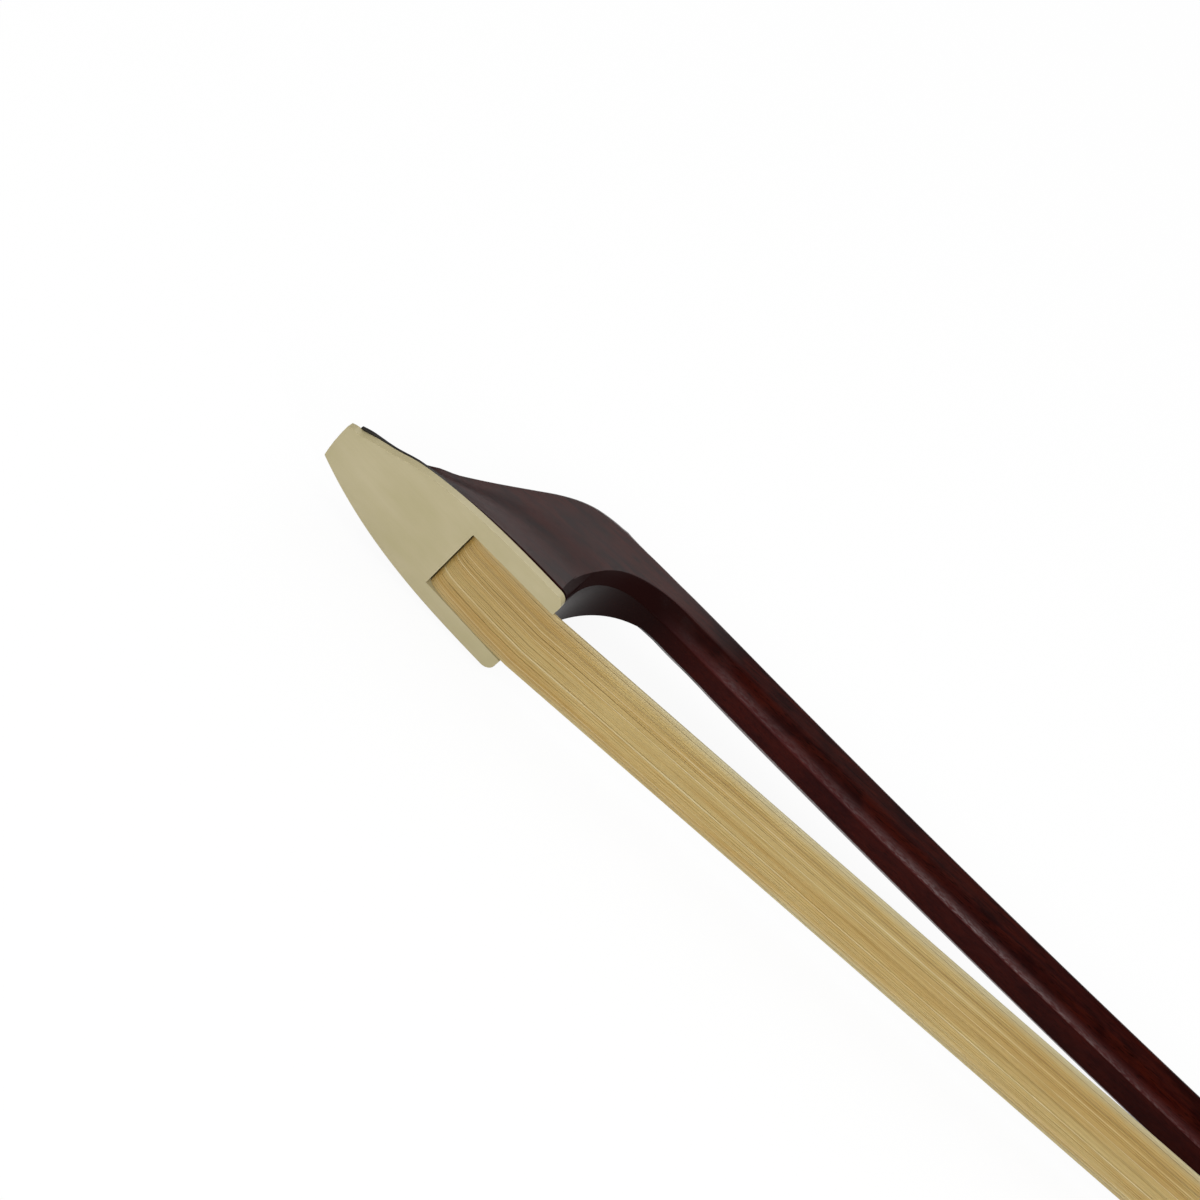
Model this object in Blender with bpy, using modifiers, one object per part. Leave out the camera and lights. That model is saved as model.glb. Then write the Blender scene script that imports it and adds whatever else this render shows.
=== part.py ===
"""Double bass bow of the French pattern, lying on its side.

X runs from the tip to the button, Y from the hair to the stick, Z across the bow.
All sizes are in metres. Sizes along the bow are measured from the end of the tip
plate, where the free hair begins.
"""
import math

import bmesh
import bpy
import numpy as np
from mathutils import Matrix, Vector

# Clearances
GAP = 0.0003
GLUE = 0.0002
RUNNING = 0.00008
THIN = 0.00005

# Hair
HAIR_FREE = 0.548
HAIR_FACE = 0.00015
HAIR_THICK = 0.0008
HAIR_TIP_W = 0.0138
HAIR_FROG_W = 0.0190
HAIR_TAIL_W = 0.0140
HAIR_TAIL = 0.030
HAIR_RISE = 0.00105
HAIR_TURN_R = 0.0018
HAIR_STRANDS = 34
STRAND_RIDGE = 0.00015

# Tip plate and its liner
PLATE_LENGTH = 0.0385
PLATE_W = 0.0202
NOSE_W = 0.0070
NOSE_BULGE = 0.00015
PLATE_TILT = math.radians(7.4)
PLATE_T = 0.0013
LINER_T = 0.0005
LINER_INSET = 0.0004
PLATE_EDGE = 0.0005
PLATE_FULLNESS = 2.95
SLOT_LENGTH = 0.0156
SLOT_FRONT_W = 0.0131
PRONG_CORNER = 0.0016

# Head of the stick
HEAD_H = 0.0315
PEAK_H = 0.0317
THROAT_REACH = 0.0183
FACE_TAPER = 0.65
THROAT_ROUND = 0.875
BEND_DIP = 0.0006
CHAMFER_MIDDLE = 0.0021
CHAMFER_HIGH = 0.0030
NOSE_INSET = 0.0013
RIDGE_HALF = 0.0021
NOSE_RIDGE_HALF = 0.0013
CHEEK_HALF = 0.0043
CHEEK_FLARE = 2.2
SHOULDER_DROP = 0.0030
HEAD_RIM = 0.0003
HEAD_SOFT = 0.0006
CHEEK_SOFT = 0.0009
MORTISE_DEEP = 0.0112
MORTISE_FLOOR_W = 0.0072
MORTISE_REAR = 0.0060
KNOT_R = 0.0013
TIP_KNOT_HALF = 0.0030
FROG_KNOT_HALF = 0.0040
PLUG_EDGE = 0.0007

# Stick
STICK_HEAD_R = 0.00445
STICK_HANDLE_R = 0.00625
STICK_TAPER = 1.6
ARRIS = 0.0005
HEAD_SLOPE = -0.128
NECK_DIP = 0.00025
NECK_X = 0.012
NECK_SPREAD = 0.009
NECK_END = 0.032
LOW_Y = 0.0127
REAR_CAMBER = 0.160
HANDLE_Y = 0.0176
HANDLE_SLOPE = 0.070
HANDLE_LEAD = 0.003
BEHIND_FROG = 0.030
STATION_STEP = 0.022
SPIGOT_R = 0.0046
SPIGOT_LENGTH = 0.0032

# Grip
LEATHER_LENGTH = 0.0300
LEATHER_TO_FROG = 0.0040
LEATHER_T = 0.0010
WINDING_TO_LEATHER = 0.0020
WINDING_PITCH = 0.0027
WINDING_TURNS = 21
STRIP_W = 0.0021
STRIP_T = 0.0006
LOOP_POINTS = 24

# Frog
FROG_LENGTH = 0.052
FROG_HALF = 0.0110
FROG_BOTTOM = -0.0018
FLAT_CHEEK_H = 0.0150
SHOULDER = 0.0023
SEAT_LAND = 0.0003
BEAK = 0.0010
BEAK_T = 0.0022
THROAT_R = 0.0050
HEEL_TOP = 0.0128
HEEL_CURVE = 0.0037
HEEL_LIP = 0.0010
TRAVEL = 0.010

# Ferrule and the wedge inside it
FERRULE_LENGTH = 0.011
FERRULE_H = 0.0084
FERRULE_SIDE = 0.0033
FERRULE_T = 0.0008
FERRULE_CORNER = 0.0005
TONGUE_LOW = 0.0057
WEDGE_LOW = 0.00455
WEDGE_W = 0.0170

# Slide, channel, heel plate, eyes
SLIDE_T = 0.0010
SLIDE_BASE_T = 0.0006
SLIDE_W = 0.0164
DOVETAIL = 0.0006
CHANNEL_W = 0.0150
CHANNEL_H = 0.0052
CHANNEL_LENGTH = 0.0205
FROG_MORTISE_W = 0.0100
FROG_MORTISE_LENGTH = 0.0080
FROG_MORTISE_H = 0.0125
HEEL_FOOT = 0.0080
HEEL_T = 0.0009
PIN_R = 0.0008
PIN_LENGTH = 0.0050
EYE_X = 0.0270
EYE_Y = 0.0090
EYE_R = 0.0035
EYE_RING_W = 0.0012
EYE_T = 0.0009

# Underslide and its screws
UNDERSLIDE_T = 0.0006
UNDERSLIDE_MARGIN = 0.0015
SMALL_SCREW_INSET = 0.0080
SMALL_HEAD_R = 0.0013
SMALL_HEAD_T = 0.0004
SMALL_SHANK_R = 0.0008
SMALL_SHANK_LENGTH = 0.0032

# Adjusting screw, eyelet, button
SCREW_R = 0.00175
SCREW_PITCH = 0.0008
THREAD_DEEP = 0.0003
THREAD_LENGTH = 0.0300
SCREW_FRONT = 0.0035
EYELET_X = 0.0270
EYELET_LENGTH = 0.0065
EYELET_W = 0.0072
EYELET_H = 0.0076
EYELET_STEM_R = 0.0021
EYELET_STEM_LENGTH = 0.0080
SLOT_PLAY = 0.0006
BUTTON_PLAY = 0.0004
BUTTON_R = 0.0071
BUTTON_CORE_R = 0.0067
RING_LENGTH = 0.0040
CORE_LENGTH = 0.0112
REAR_RING_LENGTH = 0.0062
BUTTON_EDGE = 0.0007
BUTTON_EYE_R = 0.0032
BUTTON_EYE_T = 0.0012
SCREW_IN_BUTTON = 0.0145

# Places that follow from the sizes
OCT = math.tan(math.radians(22.5))
STICK_END = HAIR_FREE + FROG_LENGTH + BEHIND_FROG
LEATHER_X = HAIR_FREE - LEATHER_TO_FROG - LEATHER_LENGTH
WINDING_X = LEATHER_X - WINDING_TO_LEATHER - WINDING_PITCH * WINDING_TURNS - STRIP_W
HANDLE_X = WINDING_X - HANDLE_LEAD
LOW_X = HANDLE_X - REAR_CAMBER
LINER_TOP = PLATE_T + GLUE + LINER_T
WOOD_BASE = LINER_TOP + GLUE

for ob in list(bpy.data.objects):
    bpy.data.objects.remove(ob, do_unlink=True)

parts = bpy.data.collections.new("Double bass bow")
cutters = bpy.data.collections.new("Cutters")
bpy.context.scene.collection.children.link(parts)
bpy.context.scene.collection.children.link(cutters)
cutters.hide_render = True


# Helpers

def material(name, colour, metallic=0.0, roughness=0.5):
    mat = bpy.data.materials.new(name)
    mat.use_nodes = True
    shader = mat.node_tree.nodes["Principled BSDF"]
    shader.inputs["Base Color"].default_value = (*colour, 1.0)
    shader.inputs["Metallic"].default_value = metallic
    shader.inputs["Roughness"].default_value = roughness
    mat.diffuse_color = (*colour, 1.0)
    return mat


def link(ob, mat=None, smooth=False):
    for home in list(ob.users_collection):
        home.objects.unlink(ob)
    if mat is None:
        cutters.objects.link(ob)
        ob.display_type = "WIRE"
        ob.hide_render = True
    else:
        parts.objects.link(ob)
        ob.data.materials.clear()
        ob.data.materials.append(mat)
    if smooth:
        for face in ob.data.polygons:
            face.use_smooth = True
    return ob


def from_bmesh(name, bm):
    bmesh.ops.recalc_face_normals(bm, faces=bm.faces)
    mesh = bpy.data.meshes.new(name)
    bm.to_mesh(mesh)
    bm.free()
    ob = bpy.data.objects.new(name, mesh)
    bpy.context.scene.collection.objects.link(ob)
    return ob


def box(name, low, high, mat=None):
    """A block between two corners."""
    low = Vector(low)
    high = Vector(high)
    bm = bmesh.new()
    bmesh.ops.create_cube(bm, size=1.0)
    bmesh.ops.scale(bm, vec=high - low, verts=bm.verts)
    bmesh.ops.translate(bm, vec=(high + low) / 2, verts=bm.verts)
    return link(from_bmesh(name, bm), mat)


def outlined(name, loops, low, high, mat=None):
    """Flat outlines, the later ones holes in the first, made solid from low to high."""
    curve = bpy.data.curves.new(name, "CURVE")
    curve.dimensions = "2D"
    curve.fill_mode = "BOTH"
    curve.extrude = (high - low) / 2
    for loop in loops:
        spline = curve.splines.new("POLY")
        spline.points.add(len(loop) - 1)
        for point, (u, v) in zip(spline.points, loop):
            point.co = (u, v, 0.0, 1.0)
        spline.use_cyclic_u = True
    drawn = bpy.data.objects.new(name, curve)
    bpy.context.scene.collection.objects.link(drawn)
    mesh = bpy.data.meshes.new_from_object(drawn)
    bpy.data.objects.remove(drawn)
    bm = bmesh.new()
    bm.from_mesh(mesh)
    bmesh.ops.remove_doubles(bm, verts=bm.verts, dist=1e-7)
    bmesh.ops.translate(bm, vec=(0, 0, (high + low) / 2), verts=bm.verts)
    return link(from_bmesh(name, bm), mat)


def turned(name, profile, mat=None, steps=32):
    """A profile of (along, radius) pairs turned round the local X axis."""
    bm = bmesh.new()
    verts = [bm.verts.new((along, radius, 0.0)) for along, radius in profile]
    for a, b in zip(verts, verts[1:]):
        bm.edges.new((a, b))
    bmesh.ops.spin(bm, geom=bm.verts[:] + bm.edges[:], angle=math.tau, steps=steps,
                   axis=(1, 0, 0), cent=(0, 0, 0))
    bmesh.ops.remove_doubles(bm, verts=bm.verts, dist=1e-7)
    return link(from_bmesh(name, bm), mat, smooth=True)


def prism8(name, apothem, low, high, mat=None):
    """An eight-sided bar along local X with flats facing Y and Z."""
    bm = bmesh.new()
    bmesh.ops.create_cone(bm, cap_ends=True, segments=8, radius1=apothem / math.cos(math.pi / 8),
                          radius2=apothem / math.cos(math.pi / 8), depth=high - low)
    bmesh.ops.rotate(bm, verts=bm.verts, matrix=Matrix.Rotation(math.pi / 8, 3, "Z"))
    bmesh.ops.rotate(bm, verts=bm.verts, matrix=Matrix.Rotation(math.pi / 2, 3, "Y"))
    bmesh.ops.translate(bm, vec=((high + low) / 2, 0, 0), verts=bm.verts)
    return link(from_bmesh(name, bm), mat)


def place(ob, matrix):
    ob.matrix_world = matrix
    return ob


def combine(ob, other, operation="DIFFERENCE"):
    mod = ob.modifiers.new(other.name, "BOOLEAN")
    mod.operation = operation
    mod.solver = "EXACT"
    mod.object = other
    return ob


def soften(ob, width, segments=2, angle=35):
    mod = ob.modifiers.new("Softened edges", "BEVEL")
    mod.width = width
    mod.segments = segments
    mod.limit_method = "ANGLE"
    mod.angle_limit = math.radians(angle)
    mod.use_clamp_overlap = True
    return ob


def loft(name, sections, mat):
    """Skin over sections of equal point count, closed with a cap at each end."""
    bm = bmesh.new()
    rings = [[bm.verts.new(p) for p in section] for section in sections]
    count = len(rings[0])
    for ring, after in zip(rings, rings[1:]):
        for i in range(count):
            j = (i + 1) % count
            bm.faces.new((ring[i], ring[j], after[j], after[i]))
    bm.faces.new(rings[0])
    bm.faces.new(rings[-1])
    return link(from_bmesh(name, bm), mat)


def hermite(x, x0, y0, m0, x1, y1, m1):
    t = (x - x0) / (x1 - x0)
    span = x1 - x0
    return ((2 * t ** 3 - 3 * t ** 2 + 1) * y0 + (t ** 3 - 2 * t ** 2 + t) * span * m0
            + (3 * t ** 2 - 2 * t ** 3) * y1 + (t ** 3 - t ** 2) * span * m1)


def smooth_table(x, xs, ys):
    """Smooth curve through a table of values."""
    xs = np.asarray(xs)
    ys = np.asarray(ys)
    slopes = np.gradient(ys, xs)
    i = int(np.clip(np.searchsorted(xs, x) - 1, 0, len(xs) - 2))
    return float(hermite(x, xs[i], ys[i], slopes[i], xs[i + 1], ys[i + 1], slopes[i + 1]))


# Materials

pernambuco = material("Varnished pernambuco", (0.115, 0.024, 0.018), 0.0, 0.25)
bone = material("Bone", (0.52, 0.46, 0.29), 0.0, 0.38)
ebony = material("Ebony", (0.012, 0.011, 0.012), 0.0, 0.32)
horsehair = material("Horsehair", (0.50, 0.36, 0.14), 0.0, 0.55)
maple = material("Maple", (0.56, 0.42, 0.26), 0.0, 0.6)
thread = material("Waxed thread", (0.62, 0.56, 0.44), 0.0, 0.7)
silver = material("Nickel silver", (0.62, 0.60, 0.56), 1.0, 0.22)
brass = material("Brass", (0.62, 0.43, 0.16), 1.0, 0.3)
steel = material("Steel", (0.42, 0.42, 0.43), 1.0, 0.28)
pearl = material("Mother-of-pearl", (0.62, 0.64, 0.62), 0.0, 0.2)
leather = material("Black leather", (0.018, 0.014, 0.012), 0.0, 0.62)
whalebone = material("Winding strip", (0.60, 0.58, 0.53), 1.0, 0.3)


# Stick

HEAD_Y = HEAD_H - STICK_HEAD_R


def axis_y(x):
    """Height of the stick's centre line over the hair, with its camber."""
    if x >= HANDLE_X:
        return HANDLE_Y + HANDLE_SLOPE * (x - HANDLE_X)
    if x >= LOW_X:
        return hermite(x, LOW_X, LOW_Y, 0.0, HANDLE_X, HANDLE_Y, HANDLE_SLOPE)
    neck = NECK_DIP * math.exp(-((x - NECK_X) / NECK_SPREAD) ** 2)
    return hermite(x, 0.0, HEAD_Y, HEAD_SLOPE, LOW_X, LOW_Y, 0.0) - neck


def axis_slope(x):
    return (axis_y(x + 1e-5) - axis_y(x - 1e-5)) / 2e-5


def stick_r(x):
    """Half the width across the flats."""
    part = min(max(x / HANDLE_X, 0.0), 1.0)
    return STICK_HEAD_R + (STICK_HANDLE_R - STICK_HEAD_R) * part ** STICK_TAPER


def rounded(points, softness):
    """Half of a section, from top to bottom; each point with a softness is a rounded corner."""
    closed = [(-points[0][0], points[0][1])] + points + [(-points[-1][0], points[-1][1])]
    out = []
    for i, soft in enumerate(softness):
        before, here, after = (Vector(point) for point in closed[i:i + 3])
        if soft == 0.0:
            out.append(here)
            continue
        start = here + (before - here).normalized() * min(soft, (before - here).length * 0.42)
        end = here + (after - here).normalized() * min(soft, (after - here).length * 0.42)
        out += [start, (start + end) / 4 + here / 2, end]
    return out


def section(bottom, top, points, softness):
    """Section on the line from bottom to top; points are (half width, height) pairs."""
    bottom = Vector((bottom[0], bottom[1], 0))
    up = Vector((top[0], top[1], 0)) - bottom
    up.normalize()
    half = rounded(points, softness)
    right = [bottom + up * p.y + Vector((0, 0, p.x)) for p in half]
    left = [bottom + up * p.y - Vector((0, 0, p.x)) for p in reversed(half)]
    return right + left


def stick_section(x):
    r = stick_r(x)
    up = Vector((-axis_slope(x), 1.0)).normalized()
    centre = Vector((x, axis_y(x)))
    side = [(r, (1 + OCT * k) * r) for k in (1, 0.5, 0, -0.5, -1)]
    points = [(OCT * r, 2 * r)] + side + [(OCT * r, 0.0)]
    return section(centre - up * r, centre + up * r, points, [ARRIS, ARRIS, 0, 0, 0, ARRIS, ARRIS])


def plate_point(along, depth):
    """A point by its distance from the plate's end towards the nose and its depth."""
    c = math.cos(PLATE_TILT)
    s = math.sin(PLATE_TILT)
    return Vector((-c * along + s * depth, s * along + c * depth))


def plate_half(along):
    """Half width of the plate outline."""
    part = min(max(along / PLATE_LENGTH, 0.0), 1.0)
    return PLATE_W / 2 - (PLATE_W - NOSE_W) / 2 * part ** PLATE_FULLNESS


RIDGE_AT = [0, 0.09, 0.16, 0.237, 0.308, 0.379, 0.453, 0.526, 0.597, 0.668, 0.742, 0.887, 1.0]
RIDGE_UP = [1.0, 0.986, 0.953, 0.887, 0.802, 0.698, 0.590, 0.487, 0.393, 0.306, 0.228, 0.125, 0.087]
FULL = stick_r(THROAT_REACH)
FACE_TOP = OCT * FULL
FACE_FOOT = PLATE_W / 2 - PRONG_CORNER

# The throat is a quarter of a skewed ellipse, a little squarer than a true one:
# it leaves the plate square to it and joins the line of the stick at its top
throat_foot = plate_point(0.0, WOOD_BASE)
throat_top = Vector((THROAT_REACH, axis_y(THROAT_REACH) - FULL))
off_plate = plate_point(0.0, 1.0)
on_stick = Vector((1.0, axis_slope(THROAT_REACH)))
span = throat_top - throat_foot
throat_rise = off_plate * (span.cross(on_stick) / off_plate.cross(on_stick))
throat_run = on_stick * (off_plate.cross(span) / off_plate.cross(on_stick))


def throat_point(turn):
    rise = math.sin(turn) ** THROAT_ROUND
    run = 1 - max(math.cos(turn), 0.0) ** THROAT_ROUND
    return throat_foot + throat_rise * rise + throat_run * run


CURVE_STEPS = 360
throat_curve = [throat_point(math.pi / 2 * k / CURVE_STEPS) for k in range(CURVE_STEPS + 1)]
chamfer_widths = [smooth_table(math.sin(math.pi / 2 * k / CURVE_STEPS), [0, 0.55, 0.85, 1.0],
                               [PRONG_CORNER, CHAMFER_MIDDLE, CHAMFER_HIGH, FULL - FACE_TOP])
                  for k in range(CURVE_STEPS + 1)]


def chamfer_height(base, up):
    """Height over the base at which a section leaves the chamfer that follows the throat."""
    height = 0.0
    while height < PEAK_H / 2:
        here = base + up * height
        away, nearest = min(((here - point).length, k) for k, point in enumerate(throat_curve))
        if away >= chamfer_widths[nearest]:
            break
        height += THIN
    return height


def head_section(base, top, ahead, along, face):
    """Section of the head; ahead is 0 on the plate and 1 where the stick begins."""
    tall = (top - base).length
    up = (top - base).normalized()
    part = along / PLATE_LENGTH
    outer = plate_half(along) - THIN - NOSE_INSET * part ** 2
    ridge = RIDGE_HALF + (NOSE_RIDGE_HALF - RIDGE_HALF) * part + (FACE_TOP - RIDGE_HALF) * ahead
    cheek = min(CHEEK_HALF + (FULL - CHEEK_HALF) * ahead, ridge + 0.35 * tall, outer - 10 * THIN)
    shoulder = tall - min(SHOULDER_DROP + (FULL - FACE_TOP - SHOULDER_DROP) * ahead, 0.30 * tall)
    rim = min(HEAD_RIM, 0.25 * tall)
    foot = rim - (base.y - throat_foot.y if along == 0.0 else 0.0)
    side = max(chamfer_height(base, up) if along < PRONG_CORNER else 0.0, rim * (1 - ahead))

    def cheek_at(height):
        level = min(max((shoulder - height) / (shoulder - foot), 0.0), 1.0)
        return cheek + (outer - cheek) * (1 - ahead) * level ** CHEEK_FLARE

    levels = [shoulder + (side - shoulder) * k for k in (0, 0.25, 0.5, 0.75, 1)]
    points = [(ridge, tall)] + [(cheek_at(level), level) for level in levels] + [(face, 0.0)]
    soft = ARRIS * ahead
    softness = [HEAD_SOFT + soft - HEAD_SOFT * ahead, CHEEK_SOFT + soft - CHEEK_SOFT * ahead, 0, 0, 0,
                THIN * 5 * (1 - ahead) + soft, THIN * (1 - ahead) + soft]
    return section(base, top, points, softness)


stations = []
for along in (0.0, 0.0003, 0.0009, 0.0017, 0.003, 0.006, 0.009, 0.012, 0.015, 0.018, 0.021, 0.024, 0.027,
              0.030, 0.0325, 0.035, 0.0368, 0.038, PLATE_LENGTH):
    up = smooth_table(along / PLATE_LENGTH, RIDGE_AT, RIDGE_UP) * PEAK_H
    inward = max(PRONG_CORNER - along, 0.0)
    face = FACE_FOOT + math.sqrt(PRONG_CORNER ** 2 - inward ** 2)
    face = min(face, plate_half(along)) - 2 * THIN - NOSE_INSET * (along / PLATE_LENGTH) ** 2
    stations.append(head_section(plate_point(along, WOOD_BASE), plate_point(along, up), 0.0, along, face))
stations.reverse()

head_top = plate_point(0.0, PEAK_H)
for angle in (3, 7, 12, 18, 25, 33, 42, 52, 63, 74, 83, 90):
    base = throat_point(math.radians(angle))
    ahead = (base.x - throat_foot.x) / (throat_top.x - throat_foot.x)
    top_x = head_top.x + (THROAT_REACH - head_top.x) * ahead
    line = axis_y(top_x) + stick_r(top_x)
    dip = BEND_DIP * 6.75 * ahead * (1 - ahead) ** 2
    top = Vector((top_x, head_top.y + (line - head_top.y) * (1 - (1 - ahead) ** 3) - dip))
    risen = (base.y - throat_foot.y) / (throat_top.y - throat_foot.y)
    face = FACE_TOP + (FACE_FOOT - FACE_TOP) * max(1 - risen, 0.0) ** FACE_TAPER
    stations.append(head_section(base, top, ahead, 0.0, face))

spans = round((HANDLE_X - NECK_END) / STATION_STEP)
neck = [THROAT_REACH + 0.004, THROAT_REACH + 0.009]
for x in neck + list(np.linspace(NECK_END, HANDLE_X, spans + 1)) + [STICK_END]:
    stations.append(stick_section(x))

handle_tilt = Matrix.Rotation(math.atan(HANDLE_SLOPE), 4, "Z")
HANDLE = Matrix.Translation((STICK_END, axis_y(STICK_END), 0)) @ handle_tilt

stick = loft("stick", stations, pernambuco)
combine(stick, place(turned("spigot", [(-0.002, 0), (-0.002, SPIGOT_R), (SPIGOT_LENGTH, SPIGOT_R),
                                       (SPIGOT_LENGTH, 0)]), HANDLE), "UNION")

PLATE = Matrix(((-math.cos(PLATE_TILT), math.sin(PLATE_TILT), 0, 0),
                (math.sin(PLATE_TILT), math.cos(PLATE_TILT), 0, 0),
                (0, 0, -1, 0), (0, 0, 0, 1)))
PLATE_FLAT = Matrix(((-math.cos(PLATE_TILT), 0, math.sin(PLATE_TILT), 0),
                     (math.sin(PLATE_TILT), 0, math.cos(PLATE_TILT), 0),
                     (0, 1, 0, 0), (0, 0, 0, 1)))
ACROSS = Matrix(((0, 0, -1, 0), (0, 1, 0, 0), (1, 0, 0, 0), (0, 0, 0, 1)))


def tapered_box(name, low, high, floor_scale, mat=None):
    """A block whose far Y face is narrower across than its near one."""
    ob = box(name, low, high, mat)
    for vert in ob.data.vertices:
        if vert.co.y > (low[1] + high[1]) / 2:
            vert.co.z *= floor_scale
    return ob


# Mortise for the hair knot in the face of the head
half = SLOT_FRONT_W / 2
mortise = tapered_box("cut head mortise", (MORTISE_REAR, -0.001, -half), (SLOT_LENGTH, MORTISE_DEEP, half),
                      MORTISE_FLOOR_W / SLOT_FRONT_W)
combine(stick, place(mortise, PLATE))


def h_at(x):
    """Distance along the handle's axis from the end of the stick."""
    return (x - STICK_END) * math.sqrt(1 + HANDLE_SLOPE ** 2)


eyelet_h = h_at(HAIR_FREE + EYELET_X)
slot = box("cut eyelet slot",
           (eyelet_h - EYELET_LENGTH / 2 - SLOT_PLAY, -STICK_HANDLE_R - 0.001, -EYELET_W / 2 - GAP),
           (eyelet_h + EYELET_LENGTH / 2 + TRAVEL + SLOT_PLAY, EYELET_H / 2 + GAP, EYELET_W / 2 + GAP))
combine(stick, place(slot, HANDLE))
screw_tip = eyelet_h - EYELET_LENGTH / 2 - SCREW_FRONT
bore = turned("cut screw bore", [(screw_tip - SLOT_PLAY, 0), (screw_tip - SLOT_PLAY, SCREW_R + RUNNING),
                                 (SPIGOT_LENGTH + 0.001, SCREW_R + RUNNING),
                                 (SPIGOT_LENGTH + 0.001, 0)], steps=24)
combine(stick, place(bore, HANDLE))


# Tip plate, liner, plug, knot

def plate_outline(inset=0.0):
    """Outline of the plate with the slot open at its end."""
    outer = []
    for degrees in (0, 22.5, 45, 67.5, 90):
        turn = math.radians(degrees)
        wide = FACE_FOOT + PRONG_CORNER * math.sin(turn)
        outer.append((PRONG_CORNER * (1 - math.cos(turn)), wide - inset))
    for i in range(13):
        along = PLATE_LENGTH * (0.06 + 0.94 * i / 12) - inset
        outer.append((along, plate_half(along) - inset))
    nose = [(PLATE_LENGTH + NOSE_BULGE * 0.7 - inset, NOSE_W * 0.28),
            (PLATE_LENGTH + NOSE_BULGE - inset, 0.0)]
    mirrored = [(a, -b) for a, b in reversed(outer + nose[:1])]
    mouth = HAIR_TIP_W / 2 + GAP
    front = SLOT_FRONT_W / 2
    slot_edge = [(0.0, -mouth), (SLOT_LENGTH, -front), (SLOT_LENGTH, front), (0.0, mouth)]
    return outer + nose + mirrored + slot_edge


tip_plate = outlined("tip_plate", [plate_outline()], 0.0, PLATE_T, bone)
soften(place(tip_plate, PLATE_FLAT), PLATE_EDGE, 2, 50)
tip_liner = outlined("tip_liner", [plate_outline(LINER_INSET)], PLATE_T + GLUE, LINER_TOP, ebony)
place(tip_liner, PLATE_FLAT)

hair_under = HAIR_FACE + HAIR_THICK
plug_half = half * 0.93 - GAP
plug_deep = MORTISE_DEEP - 2 * KNOT_R - 3 * GAP
plug_front = SLOT_LENGTH - HAIR_THICK - 2 * GAP - GLUE
tip_plug = tapered_box("tip_plug", (MORTISE_REAR + GAP, hair_under + GAP, -plug_half),
                       (plug_front, plug_deep, plug_half), 0.72, maple)
soften(place(tip_plug, PLATE), PLUG_EDGE, 2)


def hair_knot(name, half_length):
    """Bound end of the hair: two coils of thread with a waist between them."""
    coil = [(0.27, 1.0), (0.8, 1.0), (1.0, 0.7), (1.0, 0.0)]
    after = [(half_length * share, KNOT_R * round_share) for share, round_share in coil]
    before = [(-along, radius) for along, radius in reversed(after)]
    return turned(name, before + [(0, KNOT_R * 0.82)] + after, thread, steps=20)


tip_knot = hair_knot("tip_hair_knot", TIP_KNOT_HALF)
knot_at = Vector((SLOT_LENGTH - GAP - KNOT_R * 1.15, MORTISE_DEEP - GAP - KNOT_R, 0))
place(tip_knot, PLATE @ Matrix.Translation(knot_at) @ Matrix.Rotation(math.pi / 2, 4, "Y"))


# Hair

def hair_section(centre, normal, width):
    """Ridged section: one ridge for every strand on both faces."""
    normal = Vector((normal[0], normal[1], 0)).normalized()
    centre = Vector((centre[0], centre[1], 0))
    count = 2 * HAIR_STRANDS
    out = []
    for side in (1, -1):
        for i in range(count + 1):
            z = (0.5 - i / count) * width * side
            inset = STRAND_RIDGE if i % 2 == 0 else 0.0
            if i in (0, count):
                inset = HAIR_THICK * 0.35
            out.append(centre + normal * (HAIR_THICK / 2 - inset) * side + Vector((0, 0, z)))
    return out


mid_depth = HAIR_FACE + HAIR_THICK / 2
rise_at = SLOT_LENGTH - GAP - HAIR_THICK / 2
sections = []
for depth, share in ((plug_deep, 0.58), (0.4 * MORTISE_DEEP, 0.73), (mid_depth + HAIR_TURN_R, 0.82)):
    sections.append(hair_section(plate_point(rise_at, depth), plate_point(1, 0), SLOT_FRONT_W * share))
for angle, share in ((30, 0.85), (60, 0.88), (90, 0.90)):
    turn = math.radians(angle)
    along = rise_at - HAIR_TURN_R + HAIR_TURN_R * math.cos(turn)
    depth = mid_depth + HAIR_TURN_R - HAIR_TURN_R * math.sin(turn)
    out = plate_point(math.cos(turn), -math.sin(turn))
    sections.append(hair_section(plate_point(along, depth), out, SLOT_FRONT_W * share))
down = Vector((0, -1))
sections.append(hair_section(plate_point(PRONG_CORNER, mid_depth), plate_point(0, -1), HAIR_TIP_W))
sections.append(hair_section((PRONG_CORNER, mid_depth), down, HAIR_TIP_W))
for part in (0.25, 0.5, 0.75, 1.0):
    sections.append(hair_section((HAIR_FREE * part, mid_depth), down,
                                 HAIR_TIP_W + (HAIR_FROG_W - HAIR_TIP_W) * part))
sections.append(hair_section((HAIR_FREE + FERRULE_LENGTH, mid_depth + HAIR_RISE), down, HAIR_TAIL_W))
sections.append(hair_section((HAIR_FREE + HAIR_TAIL, mid_depth + HAIR_RISE), down, HAIR_TAIL_W))
hair = loft("hair_ribbon", sections, horsehair)


# Grip

def octagon(apothem, soft):
    """Loop of a softened octagon with flats across both axes."""
    loop = []
    for k in range(8):
        angle = math.pi / 8 + k * math.pi / 4
        reach = apothem / math.cos(math.pi / 8)
        here = Vector((math.cos(angle), math.sin(angle))) * reach
        before = Vector((math.cos(angle - math.pi / 4), math.sin(angle - math.pi / 4))) * reach
        after = Vector((math.cos(angle + math.pi / 4), math.sin(angle + math.pi / 4))) * reach
        start = here + (before - here).normalized() * soft
        end = here + (after - here).normalized() * soft
        loop += [start[:], ((start + end) / 4 + here / 2)[:], end[:]]
    return loop


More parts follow.
